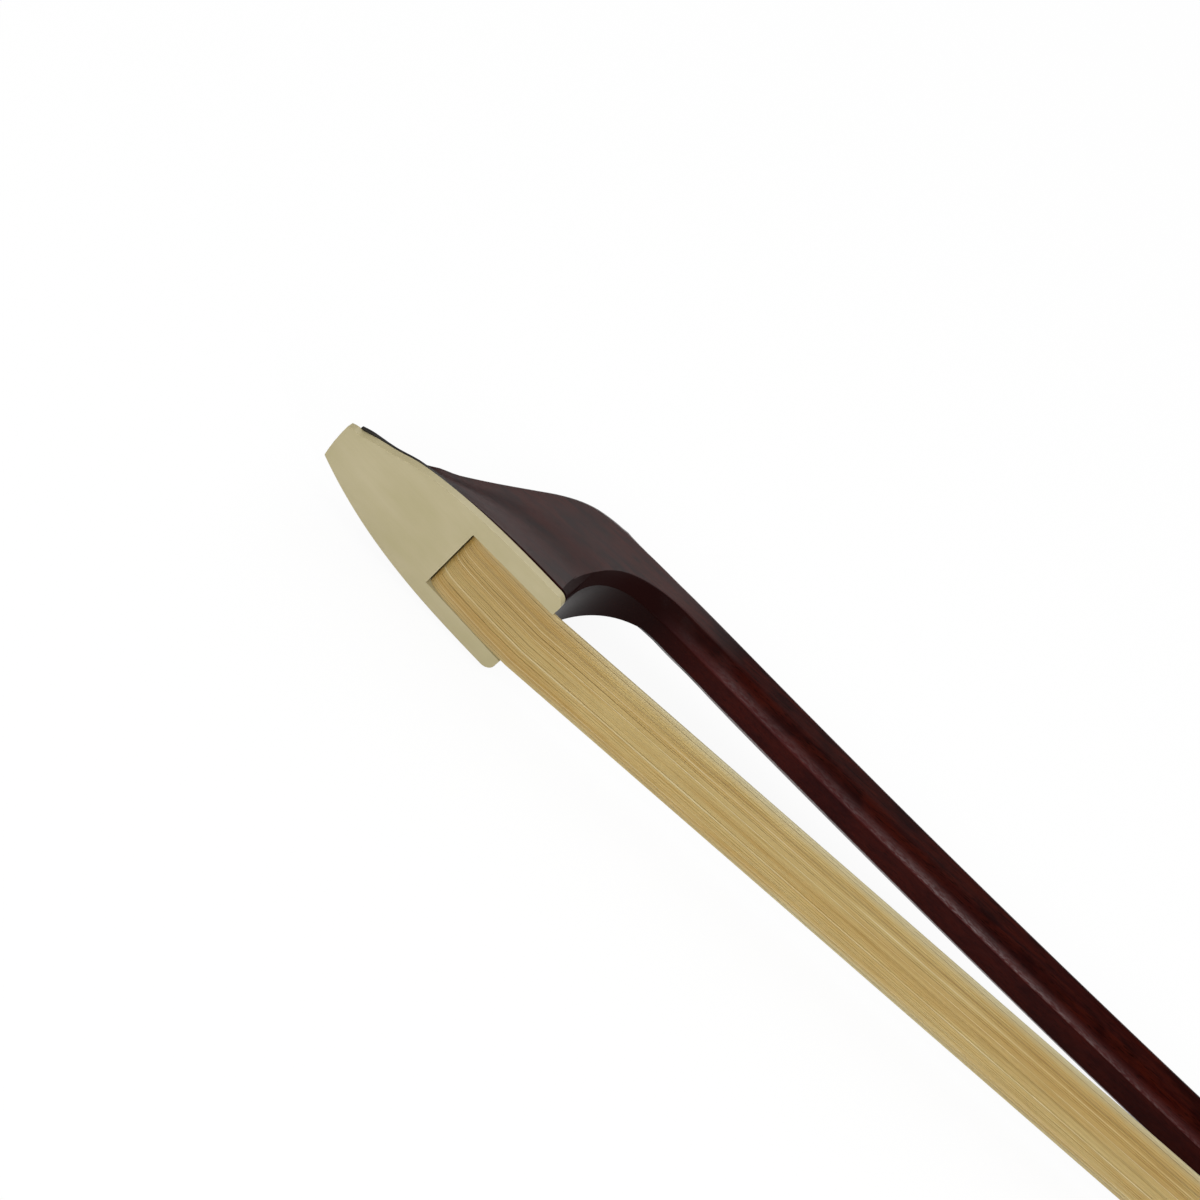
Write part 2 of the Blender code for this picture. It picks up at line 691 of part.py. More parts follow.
inner = octagon(STICK_HANDLE_R + GAP, ARRIS)
outer = octagon(STICK_HANDLE_R + GAP + LEATHER_T, ARRIS * 1.8)
leather_h = h_at(LEATHER_X)
thumb_leather = outlined("thumb_leather", [outer, inner], -leather_h - LEATHER_LENGTH, -leather_h, leather)
place(thumb_leather, HANDLE @ ACROSS)


def octagon_reach(angle, apothem):
    """Radius of the octagon's outline in one direction, softened at its corners."""
    off = (angle + math.pi / 8) % (math.pi / 4) - math.pi / 8
    return min(apothem / math.cos(off), apothem / math.cos(math.pi / 8) - 0.00012)


bm = bmesh.new()
low = STICK_HANDLE_R + GAP
profile = [bm.verts.new((h, r, 0.0)) for h, r in
           ((0, low), (0, low + STRIP_T), (STRIP_W, low + STRIP_T), (STRIP_W, low))]
strip_end = bm.faces.new(profile)
bmesh.ops.spin(bm, geom=bm.verts[:] + bm.edges[:] + [strip_end], angle=math.tau * WINDING_TURNS,
               steps=LOOP_POINTS * WINDING_TURNS, axis=(1, 0, 0), cent=(0, 0, 0),
               dvec=(WINDING_PITCH / LOOP_POINTS, 0, 0), use_duplicate=False)
for vert in bm.verts:
    angle = math.atan2(vert.co.z, vert.co.y)
    reach = math.hypot(vert.co.y, vert.co.z)
    wanted = octagon_reach(angle, low) + reach - low
    vert.co.y *= wanted / reach
    vert.co.z *= wanted / reach
winding = link(from_bmesh("winding", bm), whalebone)
place(winding, HANDLE @ Matrix.Translation((h_at(WINDING_X), 0, 0)))
turns = np.array([vert.co[:] for vert in winding.data.vertices])
order = np.arctan2(turns[:, 2], turns[:, 1])
least = 1.0
for k in range(LOOP_POINTS):
    near = np.abs(np.angle(np.exp(1j * (order - math.tau * k / LOOP_POINTS)))) < 0.02
    line = np.sort(turns[near, 0])
    steps = np.diff(line)
    least = min(least, float(steps[(steps > 1e-6) & (steps < STRIP_W * 0.9)].min()))
print("winding: least gap between turns %.2f mm" % (least * 1000))


# Frog

def arc(cx, cy, r, start, end, count):
    turns = [math.radians(angle) for angle in np.linspace(start, end, count)]
    return [(cx + r * math.cos(turn), cy + r * math.sin(turn)) for turn in turns]


X0 = HAIR_FREE
BACK = X0 + FROG_LENGTH
FOOT = BACK - HEEL_FOOT
BLOCK_FRONT = X0 + FERRULE_LENGTH + GAP
SEAT = STICK_HANDLE_R + GAP + UNDERSLIDE_T + GAP
LAND = OCT * SEAT - SEAT_LAND


def seat_top(x):
    return axis_y(x) - LAND


heel_y = FROG_BOTTOM + HEEL_TOP
back_top = BACK - HEEL_CURVE
beak_x = X0 - BEAK
beak_low = axis_y(beak_x) - SEAT - BEAK_T
throat_y = FROG_BOTTOM + FERRULE_H + GAP + THROAT_R * 0.82
throat_x = BLOCK_FRONT - 0.0008
throat = arc(throat_x, throat_y, beak_low - throat_y + 0.0002, 92, -58, 9)
heel = [(BACK, heel_y), (BACK - 0.0003, heel_y + 0.0014), (BACK - 0.0011, heel_y + 0.0030),
        (BACK - 0.0022, heel_y + 0.0048), (BACK - 0.0031, heel_y + 0.0070), (back_top, heel_y + 0.0095)]
over_plate = FROG_BOTTOM + HEEL_T + GAP
block_loop = ([(BLOCK_FRONT, FROG_BOTTOM), (FOOT - GAP, FROG_BOTTOM), (FOOT - GAP, over_plate),
               (BACK - HEEL_T - GAP, over_plate), (BACK - HEEL_T - GAP, heel_y - HEEL_LIP),
               (BACK, heel_y - HEEL_LIP)] + heel
              + [(back_top, seat_top(back_top)), (beak_x, seat_top(beak_x)), (beak_x, beak_low)]
              + throat + [(BLOCK_FRONT, FROG_BOTTOM + FERRULE_H + GAP)])
frog_block = outlined("frog_block", [block_loop], -FROG_HALF, FROG_HALF, ebony)


def dee(inset, low=None, count=15):
    """Outline across the ferrule: flat below, domed above, drawn inset from its outside."""
    base = FROG_BOTTOM + inset
    side = FROG_BOTTOM + FERRULE_SIDE
    wide = FROG_HALF - inset
    dome = FERRULE_H - FERRULE_SIDE - inset
    start = 0.0 if low is None else math.asin((low - side) / dome)
    round_top = [(wide * math.cos(turn), side + dome * math.sin(turn))
                 for turn in np.linspace(start, math.pi - start, count)]
    if low is not None:
        return round_top
    return round_top + [(-wide, base + FERRULE_CORNER), (-wide + FERRULE_CORNER, base),
                        (wide - FERRULE_CORNER, base), (wide, base + FERRULE_CORNER)]


ferrule = outlined("ferrule", [dee(0.0), dee(FERRULE_T)], -X0 - FERRULE_LENGTH, -X0, silver)
place(ferrule, ACROSS)
tongue = outlined("ferrule tongue", [dee(FERRULE_T + GAP, FROG_BOTTOM + TONGUE_LOW)],
                  -BLOCK_FRONT - 0.001, -X0 - GAP)
combine(frog_block, place(tongue, ACROSS), "UNION")
wedge = box("ferrule_wedge", (X0 + GAP, FROG_BOTTOM + WEDGE_LOW, -WEDGE_W / 2),
            (X0 + FERRULE_LENGTH - GAP, FROG_BOTTOM + TONGUE_LOW - GAP, WEDGE_W / 2), maple)

# Cheeks drawn in towards the stick above their flat part
rise = seat_top(back_top) - (FROG_BOTTOM + FLAT_CHEEK_H)
lean = (FROG_HALF - STICK_HANDLE_R - SHOULDER) / rise
for side in (1, -1):
    flat_top = FROG_BOTTOM + FLAT_CHEEK_H
    away = [(FROG_HALF + lean * 0.001, flat_top - 0.001), (FROG_HALF + 0.006, flat_top - 0.001),
            (FROG_HALF + 0.006, flat_top + 0.018), (FROG_HALF - lean * 0.018, flat_top + 0.018)]
    shoulder = outlined("cut shoulder %s" % ("left" if side > 0 else "right"),
                        [[(side * z, y) for z, y in away]], -BACK - 0.004, -X0 + 0.004)
    combine(frog_block, place(shoulder, ACROSS))

combine(frog_block, place(prism8("cut stick seat", SEAT, h_at(X0 - 0.006), h_at(BACK + 0.004)), HANDLE))
inside = BLOCK_FRONT - 0.001
slide_half = SLIDE_W / 2
base_half = SLIDE_W / 2 + DOVETAIL
base_low = FROG_BOTTOM + SLIDE_T + GAP
base_top = base_low + SLIDE_BASE_T
combine(frog_block, box("cut slide mouth", (inside, FROG_BOTTOM - 0.001, -slide_half - GAP),
                        (FOOT + 0.0005, FROG_BOTTOM + SLIDE_T + GAP / 2, slide_half + GAP)))
combine(frog_block, box("cut slide groove", (inside, FROG_BOTTOM + SLIDE_T, -base_half - GAP),
                        (FOOT - 2 * GAP, base_top + GAP, base_half + GAP)))
channel_end = BLOCK_FRONT + CHANNEL_LENGTH
combine(frog_block, box("cut hair channel", (inside, base_top, -CHANNEL_W / 2),
                        (channel_end, FROG_BOTTOM + CHANNEL_H, CHANNEL_W / 2)))
mortise_end = channel_end + FROG_MORTISE_LENGTH
combine(frog_block, box("cut frog mortise", (channel_end - 0.0005, base_top, -FROG_MORTISE_W / 2),
                        (mortise_end, FROG_BOTTOM + FROG_MORTISE_H, FROG_MORTISE_W / 2)))

slide_front = BLOCK_FRONT
slide_back = FOOT - 3 * GAP
pearl_slide = box("pearl_slide", (slide_front, FROG_BOTTOM, -slide_half),
                  (FOOT - GAP, FROG_BOTTOM + SLIDE_T, slide_half), pearl)
slide_base = box("slide_base", (slide_front, base_low, -base_half), (slide_back, base_top, base_half),
                 silver)

frog_knot = hair_knot("frog_hair_knot", FROG_KNOT_HALF)
knot_x = channel_end + KNOT_R + GAP
knot_y = FROG_BOTTOM + FROG_MORTISE_H - KNOT_R - GAP
place(frog_knot, Matrix.Translation((knot_x, knot_y, 0)) @ Matrix.Rotation(math.pi / 2, 4, "Y"))
frog_plug = box("frog_plug", (knot_x + KNOT_R + GAP, base_top + 2 * GAP, -FROG_MORTISE_W / 2 + GAP),
                (mortise_end - GAP, FROG_BOTTOM + FROG_MORTISE_H - GAP, FROG_MORTISE_W / 2 - GAP), maple)
soften(frog_plug, 0.0004, 2)

plate_top = heel_y - HEEL_LIP - GAP
heel_plate = outlined("heel_plate", [[(FOOT, FROG_BOTTOM), (BACK, FROG_BOTTOM), (BACK, plate_top),
                                      (BACK - HEEL_T, plate_top), (BACK - HEEL_T, FROG_BOTTOM + HEEL_T),
                                      (FOOT, FROG_BOTTOM + HEEL_T)]],
                      -FROG_HALF, FROG_HALF, silver)
frog_pieces = [frog_block, ferrule, wedge, pearl_slide, slide_base, frog_knot, frog_plug, heel_plate]
for number, pin_z in ((1, -FROG_HALF * 0.6), (2, FROG_HALF * 0.6)):
    pin_y = FROG_BOTTOM + HEEL_TOP * 0.62
    turn_in = Matrix.Translation((BACK, pin_y, pin_z))
    hole = turned("cut pin hole %d" % number, [(-PIN_LENGTH - GAP, 0), (-PIN_LENGTH - GAP, PIN_R + GAP),
                                               (0.001, PIN_R + GAP), (0.001, 0)], steps=16)
    combine(frog_block, place(hole, turn_in))
    combine(heel_plate, hole)
    pin = turned("heel_plate_pin_%d" % number, [(-PIN_LENGTH, 0), (-PIN_LENGTH, PIN_R), (-0.0002, PIN_R),
                                                (0, PIN_R * 0.8), (0, 0)], silver, steps=16)
    frog_pieces.append(place(pin, turn_in))

eye_y = FROG_BOTTOM + EYE_Y
ring_in = EYE_R + GAP
ring_out = ring_in + EYE_RING_W
for name, side in (("left", 1), ("right", -1)):
    facing = Matrix.Rotation(-side * math.pi / 2, 4, "Y")
    turn_in = Matrix.Translation((X0 + EYE_X, eye_y, side * FROG_HALF)) @ facing
    hole = turned("cut eye %s" % name, [(-EYE_T - GAP, 0), (-EYE_T - GAP, ring_out + GAP),
                                        (0.001, ring_out + GAP), (0.001, 0)])
    combine(frog_block, place(hole, turn_in))
    dot = turned("pearl_eye_%s" % name, [(-EYE_T, 0), (-EYE_T, EYE_R), (-2 * THIN, EYE_R),
                                         (0, EYE_R - 2 * THIN), (0, 0)], pearl)
    ring = turned("eye_ring_%s" % name, [(-EYE_T, ring_in), (-EYE_T, ring_out), (0, ring_out),
                                         (0, ring_in), (-EYE_T, ring_in)], silver)
    frog_pieces += [place(dot, turn_in), place(ring, turn_in)]

near = STICK_HANDLE_R + GAP
far = near + UNDERSLIDE_T
lining = [(-near, -OCT * near), (-OCT * near, -near), (OCT * near, -near), (near, -OCT * near),
          (far, -OCT * far), (OCT * far, -far), (-OCT * far, -far), (-far, -OCT * far)]
underslide = outlined("underslide", [lining], -h_at(back_top - UNDERSLIDE_MARGIN),
                      -h_at(beak_x + UNDERSLIDE_MARGIN), silver)
place(underslide, HANDLE @ ACROSS)
frog_pieces.append(underslide)
for name, x in (("front", X0 + SMALL_SCREW_INSET), ("rear", back_top - SMALL_SCREW_INSET)):
    drop_in = HANDLE @ Matrix.Translation((h_at(x), -near, 0)) @ Matrix.Rotation(-math.pi / 2, 4, "Z")
    hole = turned("cut underslide screw %s" % name,
                  [(-0.002, 0), (-0.002, SMALL_HEAD_R + GAP),
                   (UNDERSLIDE_T + 2 * GAP, SMALL_HEAD_R + GAP),
                   (UNDERSLIDE_T + 2 * GAP, SMALL_SHANK_R + GAP),
                   (SMALL_SHANK_LENGTH + GAP, SMALL_SHANK_R + GAP), (SMALL_SHANK_LENGTH + GAP, 0)], steps=16)
    place(hole, drop_in)
    combine(underslide, hole)
    combine(frog_block, hole)
    small = turned("underslide_screw_%s" % name,
                   [(GAP / 2, 0), (GAP / 2, SMALL_HEAD_R), (GAP / 2 + SMALL_HEAD_T, SMALL_HEAD_R),
                    (2 * GAP + SMALL_HEAD_T, SMALL_SHANK_R), (SMALL_SHANK_LENGTH, SMALL_SHANK_R),
                    (SMALL_SHANK_LENGTH, 0)], steel, steps=16)
    frog_pieces.append(place(small, drop_in))


# Eyelet, screw, button

eyelet = box("eyelet", (-EYELET_LENGTH / 2, -EYELET_H / 2, -EYELET_W / 2),
             (EYELET_LENGTH / 2, EYELET_H / 2, EYELET_W / 2), brass)
seated = HANDLE @ Matrix.Translation((eyelet_h, 0, 0))
place(eyelet, seated)
stem_low = -near - EYELET_STEM_LENGTH
upright = Matrix.Rotation(math.pi / 2, 4, "Z")
stem = turned("eyelet stem", [(stem_low, 0), (stem_low, EYELET_STEM_R), (-0.001, EYELET_STEM_R),
                              (-0.001, 0)], steps=24)
combine(eyelet, place(stem, seated @ upright), "UNION")
screw_hole = turned("cut eyelet thread", [(-EYELET_LENGTH, 0), (-EYELET_LENGTH, SCREW_R + GAP),
                                          (EYELET_LENGTH, SCREW_R + GAP), (EYELET_LENGTH, 0)], steps=24)
combine(eyelet, place(screw_hole, seated))
stem_hole = turned("cut stem hole", [(stem_low - GAP, 0), (stem_low - GAP, EYELET_STEM_R + GAP),
                                     (-near + 0.001, EYELET_STEM_R + GAP), (-near + 0.001, 0)], steps=24)
place(stem_hole, seated @ upright)
combine(frog_block, stem_hole)
combine(underslide, stem_hole)
frog_pieces.append(eyelet)

profile = [(screw_tip, 0), (screw_tip, SCREW_R - THREAD_DEEP)]
rings = int(THREAD_LENGTH / SCREW_PITCH)
for i in range(rings):
    at = screw_tip + SCREW_PITCH * (i + 0.5)
    profile += [(at, SCREW_R), (at + SCREW_PITCH / 2, SCREW_R - THREAD_DEEP)]
shank_from = screw_tip + SCREW_PITCH * (rings + 0.5)
profile += [(shank_from, SCREW_R), (SCREW_IN_BUTTON, SCREW_R), (SCREW_IN_BUTTON, 0)]
screw = place(turned("adjusting_screw", profile, steel, steps=16), HANDLE)

ring_low = BUTTON_PLAY
ring_high = ring_low + RING_LENGTH
front_ring = place(prism8("button_front_ring", BUTTON_R, ring_low, ring_high, silver), HANDLE)
recess = turned("cut spigot recess", [(ring_low - 0.001, 0), (ring_low - 0.001, SPIGOT_R + GAP),
                                      (ring_high + 0.001, SPIGOT_R + GAP), (ring_high + 0.001, 0)])
soften(front_ring, BUTTON_EDGE * 0.5, 2)
combine(front_ring, place(recess, HANDLE))
core_low = ring_high + GAP
core_high = core_low + CORE_LENGTH
core = place(prism8("button_core", BUTTON_CORE_R, core_low, core_high, ebony), HANDLE)
soften(core, BUTTON_EDGE * 0.5, 2)
socket = turned("cut screw socket", [(core_low - 0.001, 0), (core_low - 0.001, SCREW_R + GAP),
                                     (SCREW_IN_BUTTON + GAP, SCREW_R + GAP),
                                     (SCREW_IN_BUTTON + GAP, 0)], steps=24)
combine(core, place(socket, HANDLE))
cap_low = core_high + GAP
cap_high = cap_low + REAR_RING_LENGTH
rear_ring = place(prism8("button_rear_ring", BUTTON_R, cap_low, cap_high, silver), HANDLE)
soften(rear_ring, BUTTON_EDGE, 3)
seat_low = cap_high - BUTTON_EYE_T - GAP
eye_seat = turned("cut button eye", [(seat_low, 0), (seat_low, BUTTON_EYE_R + GAP),
                                     (cap_high + 0.001, BUTTON_EYE_R + GAP), (cap_high + 0.001, 0)])
combine(rear_ring, place(eye_seat, HANDLE))
eye_low = cap_high - BUTTON_EYE_T
button_eye = turned("button_eye", [(eye_low, 0), (eye_low, BUTTON_EYE_R), (cap_high - GLUE, BUTTON_EYE_R),
                                   (cap_high, BUTTON_EYE_R - GAP), (cap_high, 0)], pearl)
place(button_eye, HANDLE)


# Joints and resting place

frog_slide = bpy.data.objects.new("frog_slide", None)
parts.objects.link(frog_slide)
frog_slide.empty_display_size = 0.01
place(frog_slide, HANDLE @ Matrix.Translation((eyelet_h, 0, 0)))
bpy.context.view_layer.update()
for ob in frog_pieces:
    ob.parent = frog_slide
    ob.matrix_parent_inverse = frog_slide.matrix_world.inverted()

bpy.context.view_layer.update()
graph = bpy.context.evaluated_depsgraph_get()
corners = []
for ob in parts.objects:
    if ob.type == "MESH":
        seen = ob.evaluated_get(graph)
        corners += [seen.matrix_world @ Vector(c) for c in seen.bound_box]
low = Vector([min(c[i] for c in corners) for i in range(3)])
high = Vector([max(c[i] for c in corners) for i in range(3)])
shift = Vector((-(low.x + high.x) / 2, -(low.y + high.y) / 2, -low.z))
for ob in list(parts.objects) + list(cutters.objects):
    if ob.parent is None:
        ob.location += shift
bpy.context.view_layer.update()
axis = HANDLE.to_3x3() @ Vector((1, 0, 0))
print("size %.1f x %.1f x %.1f mm" % tuple((high - low) * 1000))
print("shift", [round(v, 6) for v in shift])
print("axis towards the button", [round(v, 6) for v in axis])
print("screw origin", [round(v, 6) for v in screw.matrix_world.translation])
print("frog origin", [round(v, 6) for v in frog_slide.matrix_world.translation])
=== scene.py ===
"""Double bass bow lying on the cheek of its frog, seen close to the head."""
import math
import random

import bmesh
import bpy
import numpy as np
from mathutils import Matrix, Vector


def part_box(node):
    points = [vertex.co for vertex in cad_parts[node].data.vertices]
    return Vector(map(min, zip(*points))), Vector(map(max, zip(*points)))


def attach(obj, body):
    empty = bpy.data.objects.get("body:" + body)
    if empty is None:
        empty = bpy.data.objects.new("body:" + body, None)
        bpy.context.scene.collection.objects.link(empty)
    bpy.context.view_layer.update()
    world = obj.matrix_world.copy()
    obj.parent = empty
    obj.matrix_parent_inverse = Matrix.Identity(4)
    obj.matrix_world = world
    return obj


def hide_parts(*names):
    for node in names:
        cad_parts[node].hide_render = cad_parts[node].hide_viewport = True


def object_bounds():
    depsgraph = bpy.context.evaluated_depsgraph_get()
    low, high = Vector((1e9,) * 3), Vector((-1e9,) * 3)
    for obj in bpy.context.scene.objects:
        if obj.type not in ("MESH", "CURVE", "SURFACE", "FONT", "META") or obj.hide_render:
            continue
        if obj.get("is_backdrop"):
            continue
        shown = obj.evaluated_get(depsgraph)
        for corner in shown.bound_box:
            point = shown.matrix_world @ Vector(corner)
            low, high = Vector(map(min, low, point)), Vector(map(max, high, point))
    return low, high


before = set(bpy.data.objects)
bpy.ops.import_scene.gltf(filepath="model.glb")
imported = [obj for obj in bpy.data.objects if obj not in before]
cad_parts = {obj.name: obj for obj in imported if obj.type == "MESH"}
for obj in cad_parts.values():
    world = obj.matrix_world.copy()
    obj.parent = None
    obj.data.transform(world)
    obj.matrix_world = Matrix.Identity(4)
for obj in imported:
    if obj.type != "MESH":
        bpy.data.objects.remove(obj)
cad_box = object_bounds()

MM = 0.001

# Sizes of the bow in millimetres, as its solids have them

# Hair: its free length, its widths at the plate, the frog and in the ferrule, and its rise to the ferrule
HAIR_FREE = 548.0
HAIR_TIP_W = 13.8
HAIR_FROG_W = 19.0
HAIR_TAIL_W = 14.0
HAIR_MIDDLE = 0.55
HAIR_RISE = 1.05
HAIR_TAIL = 29.0

# Tip plate, its liner and the slot for the hair
PLATE_LENGTH = 38.5
PLATE_W = 20.2
NOSE_W = 7.0
NOSE_BULGE = 0.15
PLATE_TILT = math.radians(7.4)
PLATE_T = 1.35
LINER_T = 0.45
PLATE_FULLNESS = 2.95
SLOT_LENGTH = 15.6
SLOT_FRONT_W = 13.1
SLOT_PLAY = 0.12
PRONG_CORNER = 1.6
NOSE_ROOT = 37.2

# Head and throat
HEAD_H = 31.5
PEAK_H = 31.7
THROAT_REACH = 18.3
THROAT_ROUND = 0.875
THROAT_SCOOP = -0.16
FACE_TAPER = 0.65
BEND_DIP = 0.6
CHAMFER_MIDDLE = 2.1
CHAMFER_HIGH = 3.0
NOSE_INSET = 1.3
WOOD_INSET = 0.05
FACE_INSET = 0.08
RIM = 0.12
RIDGE_HALF = 2.1
NOSE_RIDGE_HALF = 1.3
CHEEK_HALF = 4.3
CHEEK_FLARE = 2.2
SHOULDER_DROP = 3.0

# Stick: camber, taper and arrises
HEAD_SLOPE = -0.128
NECK_DIP = 0.25
NECK_X = 12.0
NECK_SPREAD = 9.0
LOW_X = 290.2
LOW_Y = 12.7
HANDLE_X = 450.2
HANDLE_Y = 17.6
HANDLE_SLOPE = 0.070
STICK_END = 630.0
STICK_HEAD_R = 4.45
STICK_HANDLE_R = 6.25
STICK_TAPER = 1.6
ARRIS = 0.28
SOFT_ARRIS = 0.50
FACET_CROWN = 0.20
UNDER_WIDER = 0.24

# Mortise, screw and eyelet
MORTISE_REAR = 6.0
MORTISE_DEEP = 11.2
MORTISE_FLOOR_W = 7.2
SPIGOT_R = 4.6
SPIGOT_LENGTH = 3.2
SCREW_R = 1.75
SCREW_PLAY = 0.08
EYELET_AT = 575.0
EYELET_HALF = 3.85
EYELET_TRAVEL = 10.0

# Grip and frog
WINDING_X = 453.2
WINDING_TURNS = 105
WINDING_PITCH = 0.54
LEATHER_X = 514.0
LEATHER_LENGTH = 30.0
FROG_BOTTOM = -1.8

OCT = math.tan(math.radians(22.5))
WOOD_BASE = PLATE_T + LINER_T
FULL = STICK_HEAD_R + (STICK_HANDLE_R - STICK_HEAD_R) * (THROAT_REACH / HANDLE_X) ** STICK_TAPER
FACE_TOP = OCT * FULL
FACE_FOOT = PLATE_W / 2 - PRONG_CORNER
SLOT_HALF = SLOT_FRONT_W / 2

ferrule_low, ferrule_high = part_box("ferrule")
HOME = Vector((ferrule_low[0] - HAIR_FREE * MM, ferrule_low[1] - FROG_BOTTOM * MM,
               (ferrule_low[2] + ferrule_high[2]) / 2))

# Vertices that fall within these distances, in metres, are one
SAME_PLACE = 0.000002
SAME_PLACE_IN_SOLIDS = 0.000004


# Working by hand

def put(x, y, z=0.0):
    """A place in the scene from millimetres off the end of the tip plate."""
    return HOME + Vector((x, y, z)) * MM


def nothing_selected():
    if bpy.context.object and bpy.context.object.mode == "EDIT":
        bpy.ops.object.mode_set(mode="OBJECT")
    bpy.ops.object.select_all(action="DESELECT")


def only(piece):
    nothing_selected()
    piece.select_set(True)
    bpy.context.view_layer.objects.active = piece


def fresh(name):
    """The primitive that was just added, named."""
    piece = bpy.context.object
    piece.name = name
    piece.data.name = name
    return piece


def opened(piece):
    """Opens a piece in edit mode with all of it selected."""
    only(piece)
    bpy.ops.object.mode_set(mode="EDIT")
    bpy.ops.mesh.select_all(action="SELECT")


def closed(piece):
    bpy.ops.object.mode_set(mode="OBJECT")
    return piece


def closed_outwards(piece):
    """Turns all faces of an open piece outwards and closes it."""
    bpy.ops.mesh.select_all(action="SELECT")
    bpy.ops.mesh.normals_make_consistent(inside=False)
    return closed(piece)


def set_home(piece):
    """Puts the piece's place, turn and size into its mesh."""
    only(piece)
    bpy.ops.object.transform_apply(location=True, rotation=True, scale=True)
    return piece


def face_outwards(piece):
    opened(piece)
    bpy.ops.mesh.remove_doubles(threshold=SAME_PLACE)
    return closed_outwards(piece)


def smooth(piece, degrees=35):
    only(piece)
    bpy.ops.object.shade_smooth_by_angle(angle=math.radians(degrees))
    return piece


def apply_all(piece):
    only(piece)
    for mod in list(piece.modifiers):
        bpy.ops.object.modifier_apply(modifier=mod.name)
    return piece


def cut(piece, tool, operation="DIFFERENCE"):
    mod = piece.modifiers.new("Cut", "BOOLEAN")
    mod.operation = operation
    mod.solver = "EXACT"
    mod.object = tool
    apply_all(piece)
    bpy.data.objects.remove(tool)
    return piece


def round_edges(piece, width, segments=3, angle=35):
    mod = piece.modifiers.new("Rounded edges", "BEVEL")
    mod.width = width * MM
    mod.segments = segments
    mod.limit_method = "ANGLE"
    mod.angle_limit = math.radians(angle)
    mod.harden_normals = False
    return apply_all(piece)


def block(name, low, high, turn=None):
    """A block between two corners in millimetres, square to the bow or to a turned frame."""
    low, high = Vector(low), Vector(high)
    nothing_selected()
    bpy.ops.mesh.primitive_cube_add(size=1.0)
    piece = fresh(name)
    size = (high - low) * MM
    middle = (high + low) / 2 * MM
    stand = turn or Matrix.Translation(HOME)
    piece.matrix_world = stand @ Matrix.Translation(middle) @ Matrix.Diagonal((*size, 1))
    return set_home(piece)


def laid_ring(name, places, fill_type="NGON"):
    """A circle laid on these places, open in edit mode with all of it selected."""
    nothing_selected()
    bpy.ops.mesh.primitive_circle_add(vertices=len(places), radius=0.01, fill_type=fill_type)
    piece = fresh(name)
    bpy.ops.object.mode_set(mode="EDIT")
    mesh = bmesh.from_edit_mesh(piece.data)
    for vert, place in zip(mesh.verts, places):
        vert.co = place
    bpy.ops.mesh.select_all(action="SELECT")
    return piece


def drawn_through(name, rings):
    """A skin: a circle is laid on the first ring, then pulled out ring by ring to the last."""
    piece = laid_ring(name, rings[0])
    mesh = bmesh.from_edit_mesh(piece.data)
    place = mesh.verts.layers.int.new("place in ring")
    for i, vert in enumerate(mesh.verts):
        vert[place] = i
    for ring in rings[1:]:
        bpy.ops.mesh.extrude_region_move()
        mesh = bmesh.from_edit_mesh(piece.data)
        place = mesh.verts.layers.int["place in ring"]
        for vert in mesh.verts:
            if vert.select:
                vert.co = ring[vert[place]]
    closed_outwards(piece)
    piece.data.attributes.remove(piece.data.attributes["place in ring"])
    return piece


def cut_from_sheet(name, outline, low, high, turn):
    """A flat piece with this outline, in millimetres, pulled up from low to high."""
    piece = laid_ring(name, [Vector((u, v, low)) * MM for u, v in outline])
    bpy.ops.mesh.extrude_region_move(TRANSFORM_OT_translate={"value": (0, 0, (high - low) * MM)})
    closed_outwards(piece)
    piece.matrix_world = turn
    set_home(piece)
    return face_outwards(piece)


def turned(name, profile, turn, steps=48):
    """A profile of (along, radius) pairs in millimetres, spun round the X axis of a frame."""
    piece = laid_ring(name, [Vector((along, radius, 0)) * MM for along, radius in profile], "NOTHING")
    bpy.ops.mesh.spin(steps=steps, angle=math.tau, center=(0, 0, 0), axis=(1, 0, 0))
    bpy.ops.mesh.select_all(action="SELECT")
    bpy.ops.mesh.remove_doubles(threshold=SAME_PLACE)
    bpy.ops.mesh.dissolve_degenerate(threshold=SAME_PLACE)
    closed_outwards(piece)
    piece.matrix_world = turn
    return set_home(piece)


def copy_of(node, name):
    """A copy of one of the bow's solids, its loose triangles merged and its flats made whole."""
    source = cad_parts[node]
    nothing_selected()
    piece = bpy.data.objects.new(name, source.data.copy())
    bpy.context.scene.collection.objects.link(piece)
    piece.matrix_world = source.matrix_world.copy()
    opened(set_home(piece))
    bpy.ops.mesh.remove_doubles(threshold=SAME_PLACE_IN_SOLIDS)
    bpy.ops.mesh.dissolve_limited(angle_limit=math.radians(0.6))
    return closed(piece)


def another(piece):
    """A copy of a piece, with its own mesh."""
    each = piece.copy()
    each.data = piece.data.copy()
    bpy.context.scene.collection.objects.link(each)
    return each


def joined(pieces):
    """Joins pieces into the first of them."""
    only(pieces[0])
    for piece in pieces:
        piece.select_set(True)
    bpy.ops.object.join()
    return pieces[0]


def hand_over(piece, body, slot, mat, *nodes):
    """Gives a finished piece its material and its body, and hides the solids that it stands for."""
    piece.data.materials.clear()
    piece.data.materials.append(mat)
    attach(piece, body)
    if nodes:
        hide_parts(*nodes)
    return piece


# Camera and stage

camera = bpy.data.objects.new("Camera", bpy.data.cameras.new("Camera"))
bpy.context.scene.collection.objects.link(camera)
bpy.context.scene.camera = camera
camera.location = (-0.33682, -0.169, 0.15915)
camera.rotation_euler = [math.radians(a) for a in (36.865, -35.1, 25.358)]
camera.data.lens = 45
camera.data.sensor_width = 36
camera.data.clip_start = 0.005
camera.data.clip_end = 30


# Materials

